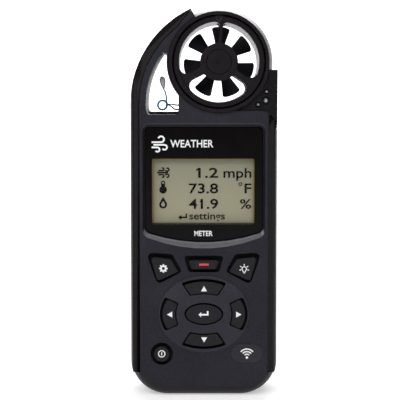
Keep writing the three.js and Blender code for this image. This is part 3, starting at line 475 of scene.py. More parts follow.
# %% The display's reflective film
def display_film(name, left, right, bottom, top):
    material, nodes, links = new_material(name)
    place = nodes.new("ShaderNodeTexCoord")
    place.label = "Place on the panel"
    axes = nodes.new("ShaderNodeSeparateXYZ")
    axes.label = "Across and up"
    left_edge = nodes.new("ShaderNodeMapRange")
    left_edge.label = "Left edge"
    left_edge.interpolation_type = "SMOOTHSTEP"
    left_edge.inputs["From Min"].default_value = left * MM
    left_edge.inputs["From Max"].default_value = (left + 1.15) * MM
    right_edge = nodes.new("ShaderNodeMapRange")
    right_edge.label = "Right edge"
    right_edge.interpolation_type = "SMOOTHSTEP"
    right_edge.inputs["From Min"].default_value = right * MM
    right_edge.inputs["From Max"].default_value = (right - 0.9) * MM
    top_edge = nodes.new("ShaderNodeMapRange")
    top_edge.label = "Top edge"
    top_edge.interpolation_type = "SMOOTHSTEP"
    top_edge.inputs["From Min"].default_value = top * MM
    top_edge.inputs["From Max"].default_value = (top - 1.1) * MM
    inner = nodes.new("ShaderNodeMath")
    inner.label = "Left and right"
    inner.operation = "MULTIPLY"
    inside = nodes.new("ShaderNodeMath")
    inside.label = "Inside the film"
    inside.operation = "MULTIPLY"
    sill = nodes.new("ShaderNodeMapRange")
    sill.label = "Shaded strip at the bottom"
    sill.interpolation_type = "SMOOTHSTEP"
    sill.inputs["From Min"].default_value = (bottom + 0.35) * MM
    sill.inputs["From Max"].default_value = (bottom + 1.0) * MM
    rise = nodes.new("ShaderNodeMapRange")
    rise.label = "Darker towards the top"
    rise.inputs["From Min"].default_value = (bottom + 8) * MM
    rise.inputs["From Max"].default_value = top * MM
    film = nodes.new("ShaderNodeMix")
    film.label = "Grey-green film"
    film.data_type = "RGBA"
    film.inputs["A"].default_value = tint(168, 164, 138)
    film.inputs["B"].default_value = tint(152, 152, 132)
    fibre = nodes.new("ShaderNodeTexNoise")
    fibre.label = "Mottle of the reflector"
    fibre.inputs["Scale"].default_value = 1800
    mottle = nodes.new("ShaderNodeMix")
    mottle.label = "Mottled film"
    mottle.data_type = "RGBA"
    mottle.blend_type = "SOFT_LIGHT"
    mottle.inputs["Factor"].default_value = 0.25
    amber = nodes.new("ShaderNodeMix")
    amber.label = "Amber rim"
    amber.data_type = "RGBA"
    amber.inputs["A"].default_value = tint(158, 138, 82)
    shade = nodes.new("ShaderNodeMix")
    shade.label = "Shaded sill"
    shade.data_type = "RGBA"
    shade.inputs["A"].default_value = tint(66, 62, 52)
    bump = nodes.new("ShaderNodeBump")
    bump.label = "Reflector relief"
    bump.inputs["Distance"].default_value = 0.01 * MM
    shader = nodes.new("ShaderNodeBsdfPrincipled")
    shader.label = "Reflective display"
    shader.inputs["Roughness"].default_value = 0.5
    shader.inputs["Specular IOR Level"].default_value = 0.2
    out = nodes.new("ShaderNodeOutputMaterial")
    out.label = "Surface"
    where, masks, film_frame, result = (nodes.new("NodeFrame") for _ in range(4))
    where.label = "Where"
    masks.label = "Edge masks"
    film_frame.label = "Film"
    result.label = "Result"
    arrange({where: [place, axes], masks: [left_edge, right_edge, top_edge, inner, inside, sill, rise],
             film_frame: [film, fibre, mottle, amber, shade, bump], result: [shader, out]})
    links.new(place.outputs["Object"], axes.inputs["Vector"])
    links.new(place.outputs["Object"], fibre.inputs["Vector"])
    links.new(axes.outputs["X"], left_edge.inputs["Value"])
    links.new(axes.outputs["X"], right_edge.inputs["Value"])
    links.new(axes.outputs["Z"], top_edge.inputs["Value"])
    links.new(left_edge.outputs["Result"], inner.inputs[0])
    links.new(right_edge.outputs["Result"], inner.inputs[1])
    links.new(inner.outputs["Value"], inside.inputs[0])
    links.new(top_edge.outputs["Result"], inside.inputs[1])
    links.new(axes.outputs["Z"], sill.inputs["Value"])
    links.new(axes.outputs["Z"], rise.inputs["Value"])
    links.new(rise.outputs["Result"], film.inputs["Factor"])
    links.new(film.outputs["Result"], mottle.inputs["A"])
    links.new(fibre.outputs["Color"], mottle.inputs["B"])
    links.new(mottle.outputs["Result"], amber.inputs["B"])
    links.new(inside.outputs["Value"], amber.inputs["Factor"])
    links.new(amber.outputs["Result"], shade.inputs["B"])
    links.new(sill.outputs["Result"], shade.inputs["Factor"])
    links.new(fibre.outputs["Fac"], bump.inputs["Height"])
    links.new(shade.outputs["Result"], shader.inputs["Base Color"])
    links.new(bump.outputs["Normal"], shader.inputs["Normal"])
    links.new(shader.outputs["BSDF"], out.inputs["Surface"])
    return material


# %% [markdown]
# ## Clear sheet
#
# The window of the lens is clear acrylic. A low alpha lets the display show through without the cost
# of refraction, and wipe marks vary the gloss.

# %% The clear lens
def clear_sheet(name, colour, alpha, roughness):
    material, nodes, links = new_material(name)
    place = nodes.new("ShaderNodeTexCoord")
    place.label = "Place on the piece"
    haze = nodes.new("ShaderNodeTexNoise")
    haze.label = "Wipe marks"
    haze.inputs["Scale"].default_value = 220
    gloss = nodes.new("ShaderNodeMapRange")
    gloss.label = "Haze in the gloss"
    gloss.inputs["To Min"].default_value = roughness * 0.6
    gloss.inputs["To Max"].default_value = roughness * 1.6
    shader = nodes.new("ShaderNodeBsdfPrincipled")
    shader.label = "Clear sheet"
    shader.inputs["Base Color"].default_value = colour
    shader.inputs["Alpha"].default_value = alpha
    shader.inputs["Specular IOR Level"].default_value = 0.6
    out = nodes.new("ShaderNodeOutputMaterial")
    out.label = "Surface"
    haze_frame, result = (nodes.new("NodeFrame") for _ in range(2))
    haze_frame.label = "Haze"
    result.label = "Result"
    arrange({haze_frame: [place, haze, gloss], result: [shader, out]})
    links.new(place.outputs["Object"], haze.inputs["Vector"])
    links.new(haze.outputs["Fac"], gloss.inputs["Value"])
    links.new(gloss.outputs["Result"], shader.inputs["Roughness"])
    links.new(shader.outputs["BSDF"], out.inputs["Surface"])
    return material


# %% [markdown]
# ## Circuit board and cell jacket
#
# A brick pattern makes the copper tracks under the green resist. The cell's printed jacket is a ramp
# with hard steps, read along the cell's height.

# %% Circuit board and cell jacket
def tracked_board(name, base, track):
    material, nodes, links = new_material(name)
    place = nodes.new("ShaderNodeTexCoord")
    place.label = "Place on the board"
    routes = nodes.new("ShaderNodeTexBrick")
    routes.label = "Copper tracks under the resist"
    routes.inputs["Scale"].default_value = 260
    routes.inputs["Mortar Size"].default_value = 0.03
    routes.inputs["Color1"].default_value = base
    routes.inputs["Color2"].default_value = [0.8 * c for c in base[:3]] + [1]
    routes.inputs["Mortar"].default_value = track
    weave = nodes.new("ShaderNodeTexNoise")
    weave.label = "Glass weave"
    weave.inputs["Scale"].default_value = 3000
    turned = nodes.new("ShaderNodeMapping")
    turned.label = "Stand the pattern upright"
    turned.inputs["Rotation"].default_value = (math.pi / 2, 0, 0)
    bump = nodes.new("ShaderNodeBump")
    bump.label = "Tracks in relief"
    bump.inputs["Distance"].default_value = 0.03 * MM
    gloss = nodes.new("ShaderNodeMapRange")
    gloss.label = "Resist gloss"
    gloss.inputs["To Min"].default_value = 0.3
    gloss.inputs["To Max"].default_value = 0.55
    shader = nodes.new("ShaderNodeBsdfPrincipled")
    shader.label = "Solder resist"
    out = nodes.new("ShaderNodeOutputMaterial")
    out.label = "Surface"
    where, pattern, result = (nodes.new("NodeFrame") for _ in range(3))
    where.label = "Where"
    pattern.label = "Tracks"
    result.label = "Result"
    arrange({where: [place, turned], pattern: [routes, weave, bump, gloss], result: [shader, out]})
    links.new(place.outputs["Object"], turned.inputs["Vector"])
    links.new(turned.outputs["Vector"], routes.inputs["Vector"])
    links.new(place.outputs["Object"], weave.inputs["Vector"])
    links.new(routes.outputs["Fac"], bump.inputs["Height"])
    links.new(weave.outputs["Fac"], gloss.inputs["Value"])
    links.new(routes.outputs["Color"], shader.inputs["Base Color"])
    links.new(gloss.outputs["Result"], shader.inputs["Roughness"])
    links.new(bump.outputs["Normal"], shader.inputs["Normal"])
    links.new(shader.outputs["BSDF"], out.inputs["Surface"])
    return material


def banded_jacket(name, low, high):
    material, nodes, links = new_material(name)
    place = nodes.new("ShaderNodeTexCoord")
    place.label = "Place on the cell"
    axes = nodes.new("ShaderNodeSeparateXYZ")
    axes.label = "Height on the cell"
    height = nodes.new("ShaderNodeMapRange")
    height.label = "From the flat end to the button"
    height.inputs["From Min"].default_value = low * MM
    height.inputs["From Max"].default_value = high * MM
    bands = nodes.new("ShaderNodeValToRGB")
    bands.label = "Printed bands"
    bands.color_ramp.interpolation = "CONSTANT"
    ramp = bands.color_ramp.elements
    ramp[0].color = tint(170, 172, 175)
    ramp[1].position = 0.03
    ramp[1].color = tint(38, 44, 52)
    for position, colour in ((0.66, tint(196, 150, 52)), (0.70, tint(150, 156, 162)),
                             (0.96, tint(190, 192, 195))):
        band = ramp.new(position)
        band.color = colour
    scuff = nodes.new("ShaderNodeTexNoise")
    scuff.label = "Scuffs"
    scuff.inputs["Scale"].default_value = 400
    gloss = nodes.new("ShaderNodeMapRange")
    gloss.label = "Scuffed film"
    gloss.inputs["To Min"].default_value = 0.18
    gloss.inputs["To Max"].default_value = 0.45
    shader = nodes.new("ShaderNodeBsdfPrincipled")
    shader.label = "Printed jacket"
    shader.inputs["Metallic"].default_value = 0.4
    out = nodes.new("ShaderNodeOutputMaterial")
    out.label = "Surface"
    where, pattern, result = (nodes.new("NodeFrame") for _ in range(3))
    where.label = "Where"
    pattern.label = "Bands"
    result.label = "Result"
    arrange({where: [place, axes], pattern: [height, bands, scuff, gloss], result: [shader, out]})
    links.new(place.outputs["Object"], axes.inputs["Vector"])
    links.new(place.outputs["Object"], scuff.inputs["Vector"])
    links.new(axes.outputs["Z"], height.inputs["Value"])
    links.new(height.outputs["Result"], bands.inputs["Fac"])
    links.new(scuff.outputs["Fac"], gloss.inputs["Value"])
    links.new(bands.outputs["Color"], shader.inputs["Base Color"])
    links.new(gloss.outputs["Result"], shader.inputs["Roughness"])
    links.new(shader.outputs["BSDF"], out.inputs["Surface"])
    return material


# %% [markdown]
# ## One finish for each material slot
#
# The record names a slot for every kind of surface. Making the finishes here, once, keeps the pieces
# consistent: a key and its neighbour share one rubber.

# %% Make the finishes
panel_low = corners("lcd_panel")[0]
APERTURE = {"left": -17.9, "right": 17.5, "bottom": 55.3, "top": 79.0}
cell_low, cell_high = corners("battery_cell")
FINISH = {
    # Moulded finishes paint a highlight on their corners, and all but the rear plastic paint shade into
    # faces sunk behind the face.
    "face_plastic": moulded_plastic("face_plastic", tint(36, 35, 43), 0.6, 0.2, 0.4, corner_highlight=0.6),
    "smooth_plastic": satin_skin("smooth_plastic", tint(24, 20, 24), 1.2, 0.01, 0.34, gleam=0.16),
    "impeller_plastic": satin_skin("impeller_plastic", tint(26, 24, 29), 2.5, 0.02, 0.38, gleam=0.4),
    "grip_rubber": soft_rubber("grip_rubber", tint(17, 12, 16), 0.3, 0.03, 0.42, rib=0.05),
    "rear_plastic": moulded_plastic("rear_plastic", tint(38, 37, 44), 0.6, 0.2, 0.4, corner_highlight=0.6, wells=1.0),
    "pad_plastic": moulded_plastic("pad_plastic", tint(47, 46, 54), 0.5, 0.08, 0.42),
    # Bright copy of the plastic for the slope under the display where it faces up: a painted highlight.
    "slope_painted_highlight": satin_skin("slope_painted_highlight", tint(84, 84, 89), 0.8, 0.02, 0.3, gleam=0.9),
    # Dark copy of the plastic for the rounded edge of the foot: painted shade.
    "foot_painted_shade": satin_skin("foot_painted_shade", tint(24, 19, 24), 0.8, 0.02, 0.4, gleam=0.25),
    "mark_plastic": satin_skin("mark_plastic", tint(62, 57, 64), 0.8, 0.02, 0.35),
    "seal_rubber": soft_rubber("seal_rubber", tint(20, 20, 22), 0.4, 0.02, 0.75),
    "key_rubber": soft_rubber("key_rubber", tint(27, 26, 31), 0.35, 0.02, 0.45, (1, 1, 1)),
    "badge_plastic": moulded_plastic("badge_plastic", tint(43, 43, 48), 0.4, 0.012, 0.42),
    "lens_acrylic": satin_skin("lens_acrylic", tint(13, 11, 12), 4, 0.003, 0.1, gleam=0.07),
    "panel_glass": display_film("panel_glass", APERTURE["left"] + 1.0, APERTURE["right"] - 1.0,
                                APERTURE["bottom"] + 0.9, APERTURE["top"] - 1.0),
    "guide_acrylic": satin_skin("guide_acrylic", tint(232, 230, 218), 2, 0.01, 0.3),
    "board_laminate": tracked_board("board_laminate", tint(24, 84, 48), tint(70, 140, 80)),
    "chip_epoxy": moulded_plastic("chip_epoxy", tint(28, 28, 30), 0.1, 0.01, 0.5, corner_highlight=0.1),
    "clear_polyester": satin_skin("clear_polyester", tint(205, 208, 212), 1, 0.01, 0.35),
    "steel": worked_metal("steel", tint(196, 198, 202), 0.28),
    "brass": worked_metal("brass", tint(201, 170, 98), 0.3),
    "gold": worked_metal("gold", tint(222, 190, 120), 0.25),
    "magnet_black": worked_metal("magnet_black", tint(74, 74, 78), 0.45),
    "coil_copper": worked_metal("coil_copper", tint(196, 112, 70), 0.35, (8, 1, 8)),
    "bead_glass": satin_skin("bead_glass", tint(250, 251, 253), 0.8, 0.02, 0.22, coat=0.8, spread=0.03,
                             glow=0.9),
    "lead_blue": satin_skin("lead_blue", tint(60, 165, 240), 0.4, 0.01, 0.3, coat=0.4, glow=0.8),
    "lead_navy": satin_skin("lead_navy", tint(52, 76, 112), 0.4, 0.01, 0.35, coat=0.3),
    "cell_jacket": banded_jacket("cell_jacket", cell_low.z, cell_high.z),
}
WHITE_INK = satin_skin("white_ink", tint(238, 240, 242), 0.25, 0.006, 0.45, spread=0.05)
RED_INK = satin_skin("red_ink", tint(222, 58, 66), 0.25, 0.006, 0.45, spread=0.1)
DISPLAY_INK = satin_skin("display_ink", tint(17, 11, 13), 0.3, 0.002, 0.6, spread=0.1, gleam=0.05)
CLEAR = clear_sheet("clear_window", tint(30, 30, 30), 0.06, 0.05)
print("finishes:", len(FINISH))


# %% [markdown]
# ## Helpers for shapes
#
# Every piece is a bmesh in millimetres until `place_piece` scales it, smooths it and lets it ride on
# its body. `copy_of` starts from a CAD node: its loose triangles are merged and its flat facets
# joined, so that a live bevel can round the real edges. `loop` and `pierced_plate` make flat plates
# with openings, and `turned` spins a profile about an axis that points along Y.

# %% Shape helpers
def place_piece(shape, name, body, slot=None, finish=None, stands_for=(), soft=0.0, steps=2, sharp=35):
    bmesh.ops.scale(shape, vec=(MM, MM, MM), verts=shape.verts)
    mesh = bpy.data.meshes.new(name)
    shape.to_mesh(mesh)
    shape.free()
    mesh.shade_smooth()
    mesh.set_sharp_from_angle(angle=math.radians(sharp))
    piece = bpy.data.objects.new(name, mesh)
    bpy.context.scene.collection.objects.link(piece)
    mesh.materials.append(finish or FINISH[slot])
    if soft:
        bevel = piece.modifiers.new("rounded_edges", "BEVEL")
        bevel.width = soft * MM
        bevel.segments = steps
        bevel.limit_method = "ANGLE"
        bevel.angle_limit = math.radians(sharp)
        bevel.harden_normals = True
    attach(piece, body)
    if stands_for:
        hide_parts(*stands_for)
    return piece


def copy_of(node, join=True):
    shape = bmesh.new()
    shape.from_mesh(frame["nodes"][node].data)
    bmesh.ops.scale(shape, vec=(1 / MM,) * 3, verts=shape.verts)
    bmesh.ops.remove_doubles(shape, verts=shape.verts, dist=0.0005)
    if join:
        bmesh.ops.dissolve_limit(shape, angle_limit=math.radians(1), verts=shape.verts, edges=shape.edges)
    return shape


def body_of(node):
    return frame["nodes"][node]["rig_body"]


def loop(shape, points, y):
    """A closed ring of edges through points given as (x, z)."""
    verts = [shape.verts.new((x, y, z)) for x, z in points]
    return [shape.edges.new((a, b)) for a, b in zip(verts, verts[1:] + verts[:1])]


def arc(x, z, radius, start, end, steps):
    """Points on an arc about (x, z), with angles in degrees clockwise from straight up."""
    angles = [math.radians(start + (end - start) * i / steps) for i in range(steps + 1)]
    return [(x + radius * math.sin(a), z + radius * math.cos(a)) for a in angles]


def circle(x, z, radius, steps=64):
    return arc(x, z, radius, 0, 360, steps)[:-1]


def rounded_box(left, right, bottom, top, radius, steps=6):
    return (arc(right - radius, top - radius, radius, 0, 90, steps)
            + arc(right - radius, bottom + radius, radius, 90, 180, steps)
            + arc(left + radius, bottom + radius, radius, 180, 270, steps)
            + arc(left + radius, top - radius, radius, 270, 360, steps))


def pierced_plate(shape, outline, openings, front, back):
    """A flat plate between two Y planes, with openings right through it."""
    ring = loop(shape, outline, front)
    for opening in openings:
        ring += loop(shape, opening, front)
    filled = bmesh.ops.triangle_fill(shape, edges=ring, use_beauty=True, use_dissolve=True)
    faces = [item for item in filled["geom"] if isinstance(item, bmesh.types.BMFace)]
    grown = bmesh.ops.extrude_face_region(shape, geom=faces)
    moved = [item for item in grown["geom"] if isinstance(item, bmesh.types.BMVert)]
    bmesh.ops.translate(shape, verts=moved, vec=(0, back - front, 0))
    bmesh.ops.recalc_face_normals(shape, faces=shape.faces)
    return moved


def turned(shape, profile, x, z, steps=96):
    """Spin a closed profile of (radius, y) points about the Y axis through (x, z)."""
    verts = [shape.verts.new((x + radius, y, z)) for radius, y in profile]
    ring = [shape.edges.new((a, b)) for a, b in zip(verts, verts[1:] + verts[:1])]
    bmesh.ops.spin(shape, geom=verts + ring, cent=(x, 0, z), axis=(0, 1, 0), angle=math.tau,
                   steps=steps, use_merge=True)
    bmesh.ops.remove_doubles(shape, verts=shape.verts, dist=0.001)
    bmesh.ops.recalc_face_normals(shape, faces=shape.faces)


def turn_module(shape):
    """Turn a shape with the impeller module, which sits a few degrees round in its bore."""
    bmesh.ops.rotate(shape, cent=(DUCT_X, 0, DUCT_Z), matrix=Matrix.Rotation(MODULE_TURN, 3, "Y"),
                     verts=shape.verts)


# %% [markdown]
# ## The two shells
#
# The front and rear housings are thin moulded shells. Their shapes are right in the CAD, where every
# edge is sharp. A mould can't have such edges, so copies of them get a small live bevel that turns
# each edge into a thin highlight. Other pieces join the list with a width of their own, and a width
# of 0 leaves the bevel out, as on the grips, the leads, the spring and the threaded insert.

# %% Shells, grips and the other moulded pieces that keep their CAD shape
SOFTENED = [
    ("front_housing", "face_plastic", 0.2),
    ("rear_housing", "face_plastic", 0.2),
    ("left_grip", "grip_rubber", 0.0),
    ("right_grip", "grip_rubber", 0.0),
    ("vent_grille", "smooth_plastic", 0.05),
    ("tripod_bush", "brass", 0.2),
    ("door_screw", "steel", 0.15),
    ("door_insert", "brass", 0.0),
    ("battery_spring", "steel", 0.0),
    ("impeller_axle", "steel", 0.05),
    ("front_bearing", "gold", 0.05),
    ("rear_bearing", "gold", 0.05),
    ("rotor_magnet", "magnet_black", 0.1),
    ("door_hinge_pin", "steel", 0.05),
    ("thermistor_terminal", "smooth_plastic", 0.1),
    ("thermistor_lead_blue", "lead_blue", 0.0),
    ("thermistor_lead_navy", "lead_navy", 0.0),
]
SOFTENED += [(f"housing_screw_{i}", "steel", 0.1) for i in (1, 2, 3, 4)]
SOFTENED += [(f"contact_pin_{i}", "steel", 0.05) for i in (1, 2, 3)]
for node, slot, edge in SOFTENED:
    finish = FINISH["rear_plastic"] if node == "rear_housing" else None
    piece = place_piece(copy_of(node, edge > 0), f"{node}_skin", body_of(node), slot, finish,
                        stands_for=[node], soft=edge)
    if node.endswith("grip") or node.endswith("housing"):
        even = piece.modifiers.new("even_normals", "WEIGHTED_NORMAL")
        even.keep_sharp = True
print("softened:", len(SOFTENED), "CAD pieces")

# %% [markdown]
# ## Battery door
#
# A thumb slides the door, so its outside has a row of grooves. The copy's outer face is cut into
# strips with `bisect_plane`, every second strip is inset, and what is left in the middle is pushed in.

# %% Grooved door
GROOVES, GROOVE_PITCH, GROOVE_HALF, GROOVE_DEEP = 7, 1.3, 6.0, 0.35
GROOVES_START = 8.0
door_low, door_high = corners("battery_door")
groove_low = door_low.z + GROOVES_START
door = copy_of("battery_door")
cuts = [((0, 0, groove_low + GROOVE_PITCH * i / 2), (0, 0, 1)) for i in range(2 * GROOVES + 1)]
cuts += [((-GROOVE_HALF, 0, 0), (1, 0, 0)), ((GROOVE_HALF, 0, 0), (1, 0, 0))]
for point, across in cuts:
    bmesh.ops.bisect_plane(door, geom=door.verts[:] + door.edges[:] + door.faces[:], plane_co=point,
                           plane_no=across)
strips = []
for face in door.faces:
    spot = face.calc_center_median()
    step = (spot.z - groove_low) / (GROOVE_PITCH / 2)
    if (face.normal.y > 0.9 and spot.y > door_high.y - 0.05 and abs(spot.x) < GROOVE_HALF
            and 0 < step < 2 * GROOVES and int(step) % 2 == 0):
        strips.append(face)
bmesh.ops.inset_individual(door, faces=strips, thickness=0.08, depth=0)
floors = {vert for face in strips for vert in face.verts}
bmesh.ops.translate(door, verts=list(floors), vec=(0, -GROOVE_DEEP, 0))
place_piece(door, "battery_door_skin", "battery_door", "face_plastic", FINISH["rear_plastic"],
            stands_for=["battery_door"], soft=0.1)
print("grooves in the door:", len(strips))

# %% [markdown]
# ## Finishes within the front shell
#
# The mould of the front shell is not grained all over. The ring round the duct and the head beside it
# are polished, and the pad under the ring of keys has a finer and lighter grain. The slope round the
# display is painted lighter as a painted highlight, brightest where it faces up, and the rounded edge
# of the foot is painted dark like the grips above it, as painted shade, with a smooth finish.

# %% Give those areas their own finish
shell = bpy.data.objects["front_housing_skin"]
AREAS = ["pad_plastic", "slope_painted_highlight", "foot_painted_shade", "smooth_plastic"]
for slot in AREAS:
    shell.data.materials.append(FINISH[slot])
PAD, BEVEL, EDGE, SMOOTH = range(1, 5)
DUCT_WALL_R = 17.6
HEAD_LEFT, HEAD_FOOT = 4, 90
PAD_TOP = 60
SLOPE_HALF, SLOPE_LOW, SLOPE_HIGH, SLOPE_BACK = 20.3, 48, 90, -11.9
EDGE_TOP, EDGE_BACK = 12.5, -2
counts = [0] * (len(AREAS) + 1)
for face in shell.data.polygons:
    x, y, z = face.center / MM
    points = [shell.data.vertices[i].co / MM for i in face.vertices]
    near_duct = all(math.hypot(p.x - DUCT_X, p.z - DUCT_Z) < DUCT_WALL_R + 0.1 for p in points)
    on_head = all(p.x > HEAD_LEFT and p.z > HEAD_FOOT for p in points) and y > FACE_Y + 0.3
    if all(p.y < FACE_Y - 0.05 for p in points) and z < PAD_TOP:
        face.material_index = PAD
    # Painted highlight: the slope round the display is painted lighter, with the bright copy where it faces
    # up and the pad's lighter tone elsewhere.
    elif (abs(x) < SLOPE_HALF and SLOPE_LOW < z < SLOPE_HIGH and y < SLOPE_BACK - 0.1
          and -0.99 < face.normal.y < -0.5 and all(p.y < SLOPE_BACK for p in points)):
        face.material_index = BEVEL if face.normal.z > 0.2 else PAD
    # Painted shade: the rounded edge of the foot, which turns down away from the light, is painted dark.
    elif z < EDGE_TOP and y < EDGE_BACK and -0.985 < face.normal.y < 0.5:
        face.material_index = EDGE
    elif near_duct or on_head:
        face.material_index = SMOOTH
    counts[face.material_index] += 1
print("faces with each finish:", counts)


# %% [markdown]
# ## Keys
#
# Each key is one rubber moulding whose cap stands in a well of the face plate. Rubber can't hold a
# sharp edge, so the rim of the cap gets a wide soft bevel.

# %% Keys
SKIRT_Y = -12.9
KEY_NODES = [n for n in frame["nodes"] if n.startswith("key_")]
for node in KEY_NODES:
    piece = place_piece(copy_of(node), f"{node}_cap", body_of(node), "key_rubber", stands_for=[node],
                        soft=0.3, steps=4)
    piece.data.materials.append(FINISH["seal_rubber"])
    for face in piece.data.polygons:
        if face.center.y / MM > SKIRT_Y or abs(face.normal.y) < 0.5:
            face.material_index = 1
print("keys:", len(KEY_NODES))


# %% [markdown]
# ## Printed marks
#
# The marks on the keys are inlaid in white or red. `ink` extrudes closed outlines into a film a few
# hundredths of a millimetre thick that lies just proud of the surface, and `strokes` makes lines of
# even width from a curve. `mesh_of` turns a curve or a text into a mesh before it is placed.

# %% Ink helpers
INK = 0.03
CAPITAL = 0.73  # height of a capital in the built-in letters, for a size of 1


def ink(outlines, name, body, y, finish=WHITE_INK):
    shape = bmesh.new()
    for outline in outlines:
        pierced_plate(shape, outline, [], y, y + INK)
    return place_piece(shape, name, body, finish=finish)


def mesh_of(name, curve):
    drawn = bpy.data.objects.new(name, curve)
    bpy.context.scene.collection.objects.link(drawn)
    mesh = bpy.data.meshes.new_from_object(drawn)
    bpy.data.objects.remove(drawn)
    shape = bmesh.new()
    shape.from_mesh(mesh)
    return shape


def strokes(lines, width, name, body, y, finish=WHITE_INK):
    """Lines of even width. Each is a pair: its (x, z) points, and True if it closes."""
    curve = bpy.data.curves.new(name, "CURVE")
    curve.dimensions = "3D"
    curve.bevel_depth = width / 2
    curve.bevel_resolution = 2
    curve.use_fill_caps = True
    for points, closed in lines:
        spline = curve.splines.new("POLY")
        spline.points.add(len(points) - 1)
        spline.use_cyclic_u = closed
        for point, (x, z) in zip(spline.points, points):
            point.co = (x, 0, z, 1)
    shape = mesh_of(name, curve)
    bmesh.ops.scale(shape, vec=(1, 2 * INK / width, 1), verts=shape.verts)
    bmesh.ops.translate(shape, vec=(0, y, 0), verts=shape.verts)
    bmesh.ops.recalc_face_normals(shape, faces=shape.faces)
    return place_piece(shape, name, body, finish=finish, sharp=60)


def lettering(words, name, body, left, base, height, y, width=None, weight=0.0, finish=WHITE_INK):
    """Words in the plain built-in letters, with capitals of the given height."""
    curve = bpy.data.curves.new(name, "FONT")
    curve.body = words
    curve.size = height / CAPITAL
    curve.offset = weight
    curve.resolution_u = 4
    curve.extrude = INK / 2
    shape = mesh_of(name, curve)
    bmesh.ops.remove_doubles(shape, verts=shape.verts, dist=0.001)
    bmesh.ops.rotate(shape, cent=(0, 0, 0), matrix=Matrix.Rotation(math.pi / 2, 3, "X"),
                     verts=shape.verts)
    low = min(v.co.x for v in shape.verts)
    wide = max(v.co.x for v in shape.verts) - low
    stretch = width / wide if width else 1
    bmesh.ops.translate(shape, vec=(-low, 0, 0), verts=shape.verts)
    bmesh.ops.scale(shape, vec=(stretch, 1, 1), verts=shape.verts)
    bmesh.ops.translate(shape, vec=(left, y, base), verts=shape.verts)
    bmesh.ops.recalc_face_normals(shape, faces=shape.faces)
    return place_piece(shape, name, body, finish=finish, sharp=60)


def return_arrow(tip, neck, inner, outer, z, half, rise):
    """An arrow that points left, with its tail rising between inner and outer."""
    barb = 0.85
    return [(tip, z), (neck, z + barb), (neck, z + half), (inner, z + half), (inner, z + rise),
            (outer, z + rise), (outer, z - half), (neck, z - half), (neck, z - barb)]


def around(x, z, radius, degrees):
    """The point on a circle at an angle clockwise from straight up."""
    return (x + radius * math.sin(math.radians(degrees)), z + radius * math.cos(math.radians(degrees)))


print("ink is", INK, "mm thick")


# %% [markdown]
# ## Marks on the keys
#
# Plain signs tell the keys apart: arrows, a gear, a lamp, a red bar, a return arrow and a power sign.
# They ride on their keys, so they sink with them.

# %% Marks on the keys
KEY_TOP = corners("key_up")[0].y
MARK_Y = KEY_TOP - INK / 2
PAD_Z = middle("key_enter").z


def triangle(x, z, half, tall, turn):
    """A triangle about (x, z) that points up before it is turned clockwise."""
    return [
        (x + px * math.cos(turn) + pz * math.sin(turn), z - px * math.sin(turn) + pz * math.cos(turn))
        for px, pz in ((0, tall / 2), (half, -tall / 2), (-half, -tall / 2))]


quarter = math.pi / 2
for node, x, z, turn in (
    ("key_up", 0.05, 35.6, 0), ("key_down", 0.1, 18.7, 2 * quarter),
    ("key_left", -11.2, PAD_Z - 0.1, -quarter), ("key_right", 11.45, PAD_Z - 0.1, quarter),
):
    ink([triangle(x, z, 0.98, 1.75, turn)], f"{node}_mark", body_of(node), MARK_Y)

gear_x, gear_z = -13.2, 42.25
teeth = []
for tooth in range(8):
    centre = tooth * 45
    teeth += arc(gear_x, gear_z, 1.42, centre - 8, centre + 8, 2)
    teeth += arc(gear_x, gear_z, 1.05, centre + 14, centre + 31, 2)
gear = bmesh.new()
pierced_plate(gear, teeth, [circle(gear_x, gear_z, 0.5, 20)], MARK_Y, MARK_Y + INK)
place_piece(gear, "key_settings_mark", "key_settings", finish=WHITE_INK)

bulb_x, bulb_z = 13.2, 41.9
glow_z = bulb_z + 0.2
rays = [([around(bulb_x, glow_z, 1.05, a), around(bulb_x, glow_z, 1.6, a)], False)
        for a in (-105, -55, 0, 55, 105)]
outline = arc(bulb_x, glow_z, 0.72, -140, 140, 14)
outline += [(bulb_x + 0.3, bulb_z - 0.85), (bulb_x - 0.3, bulb_z - 0.85)]
strokes(rays + [(outline, True), ([(bulb_x - 0.15, bulb_z - 1.2), (bulb_x + 0.15, bulb_z - 1.2)], False)],
        0.3, "key_backlight_mark", "key_backlight", MARK_Y)

ink([rounded_box(-1.52, 1.62, 43.2, 43.86, 0.05, 2)], "key_capture_mark", "key_capture", MARK_Y, RED_INK)

ink([return_arrow(-1.75, -0.85, 1.0, 1.55, PAD_Z - 0.15, 0.28, 1.2)], "key_enter_mark", "key_enter",
    MARK_Y)

power = middle("key_power")
strokes([(circle(power.x, power.z + 0.1, 1.05, 28), True),
         ([(power.x, power.z - 0.45), (power.x, power.z + 0.65)], False)],
        0.32, "key_power_mark", "key_power", MARK_Y)
print("key marks lie at Y", round(MARK_Y, 2))


# %% [markdown]
# ## Display
#
# The lens is one acrylic sheet, printed black on its back except for a clear window. The print and
# the window are separate pieces here: a glossy black frame, a clear pane over the opening, the
# reflective panel behind it, and the dark segments that float on the panel.

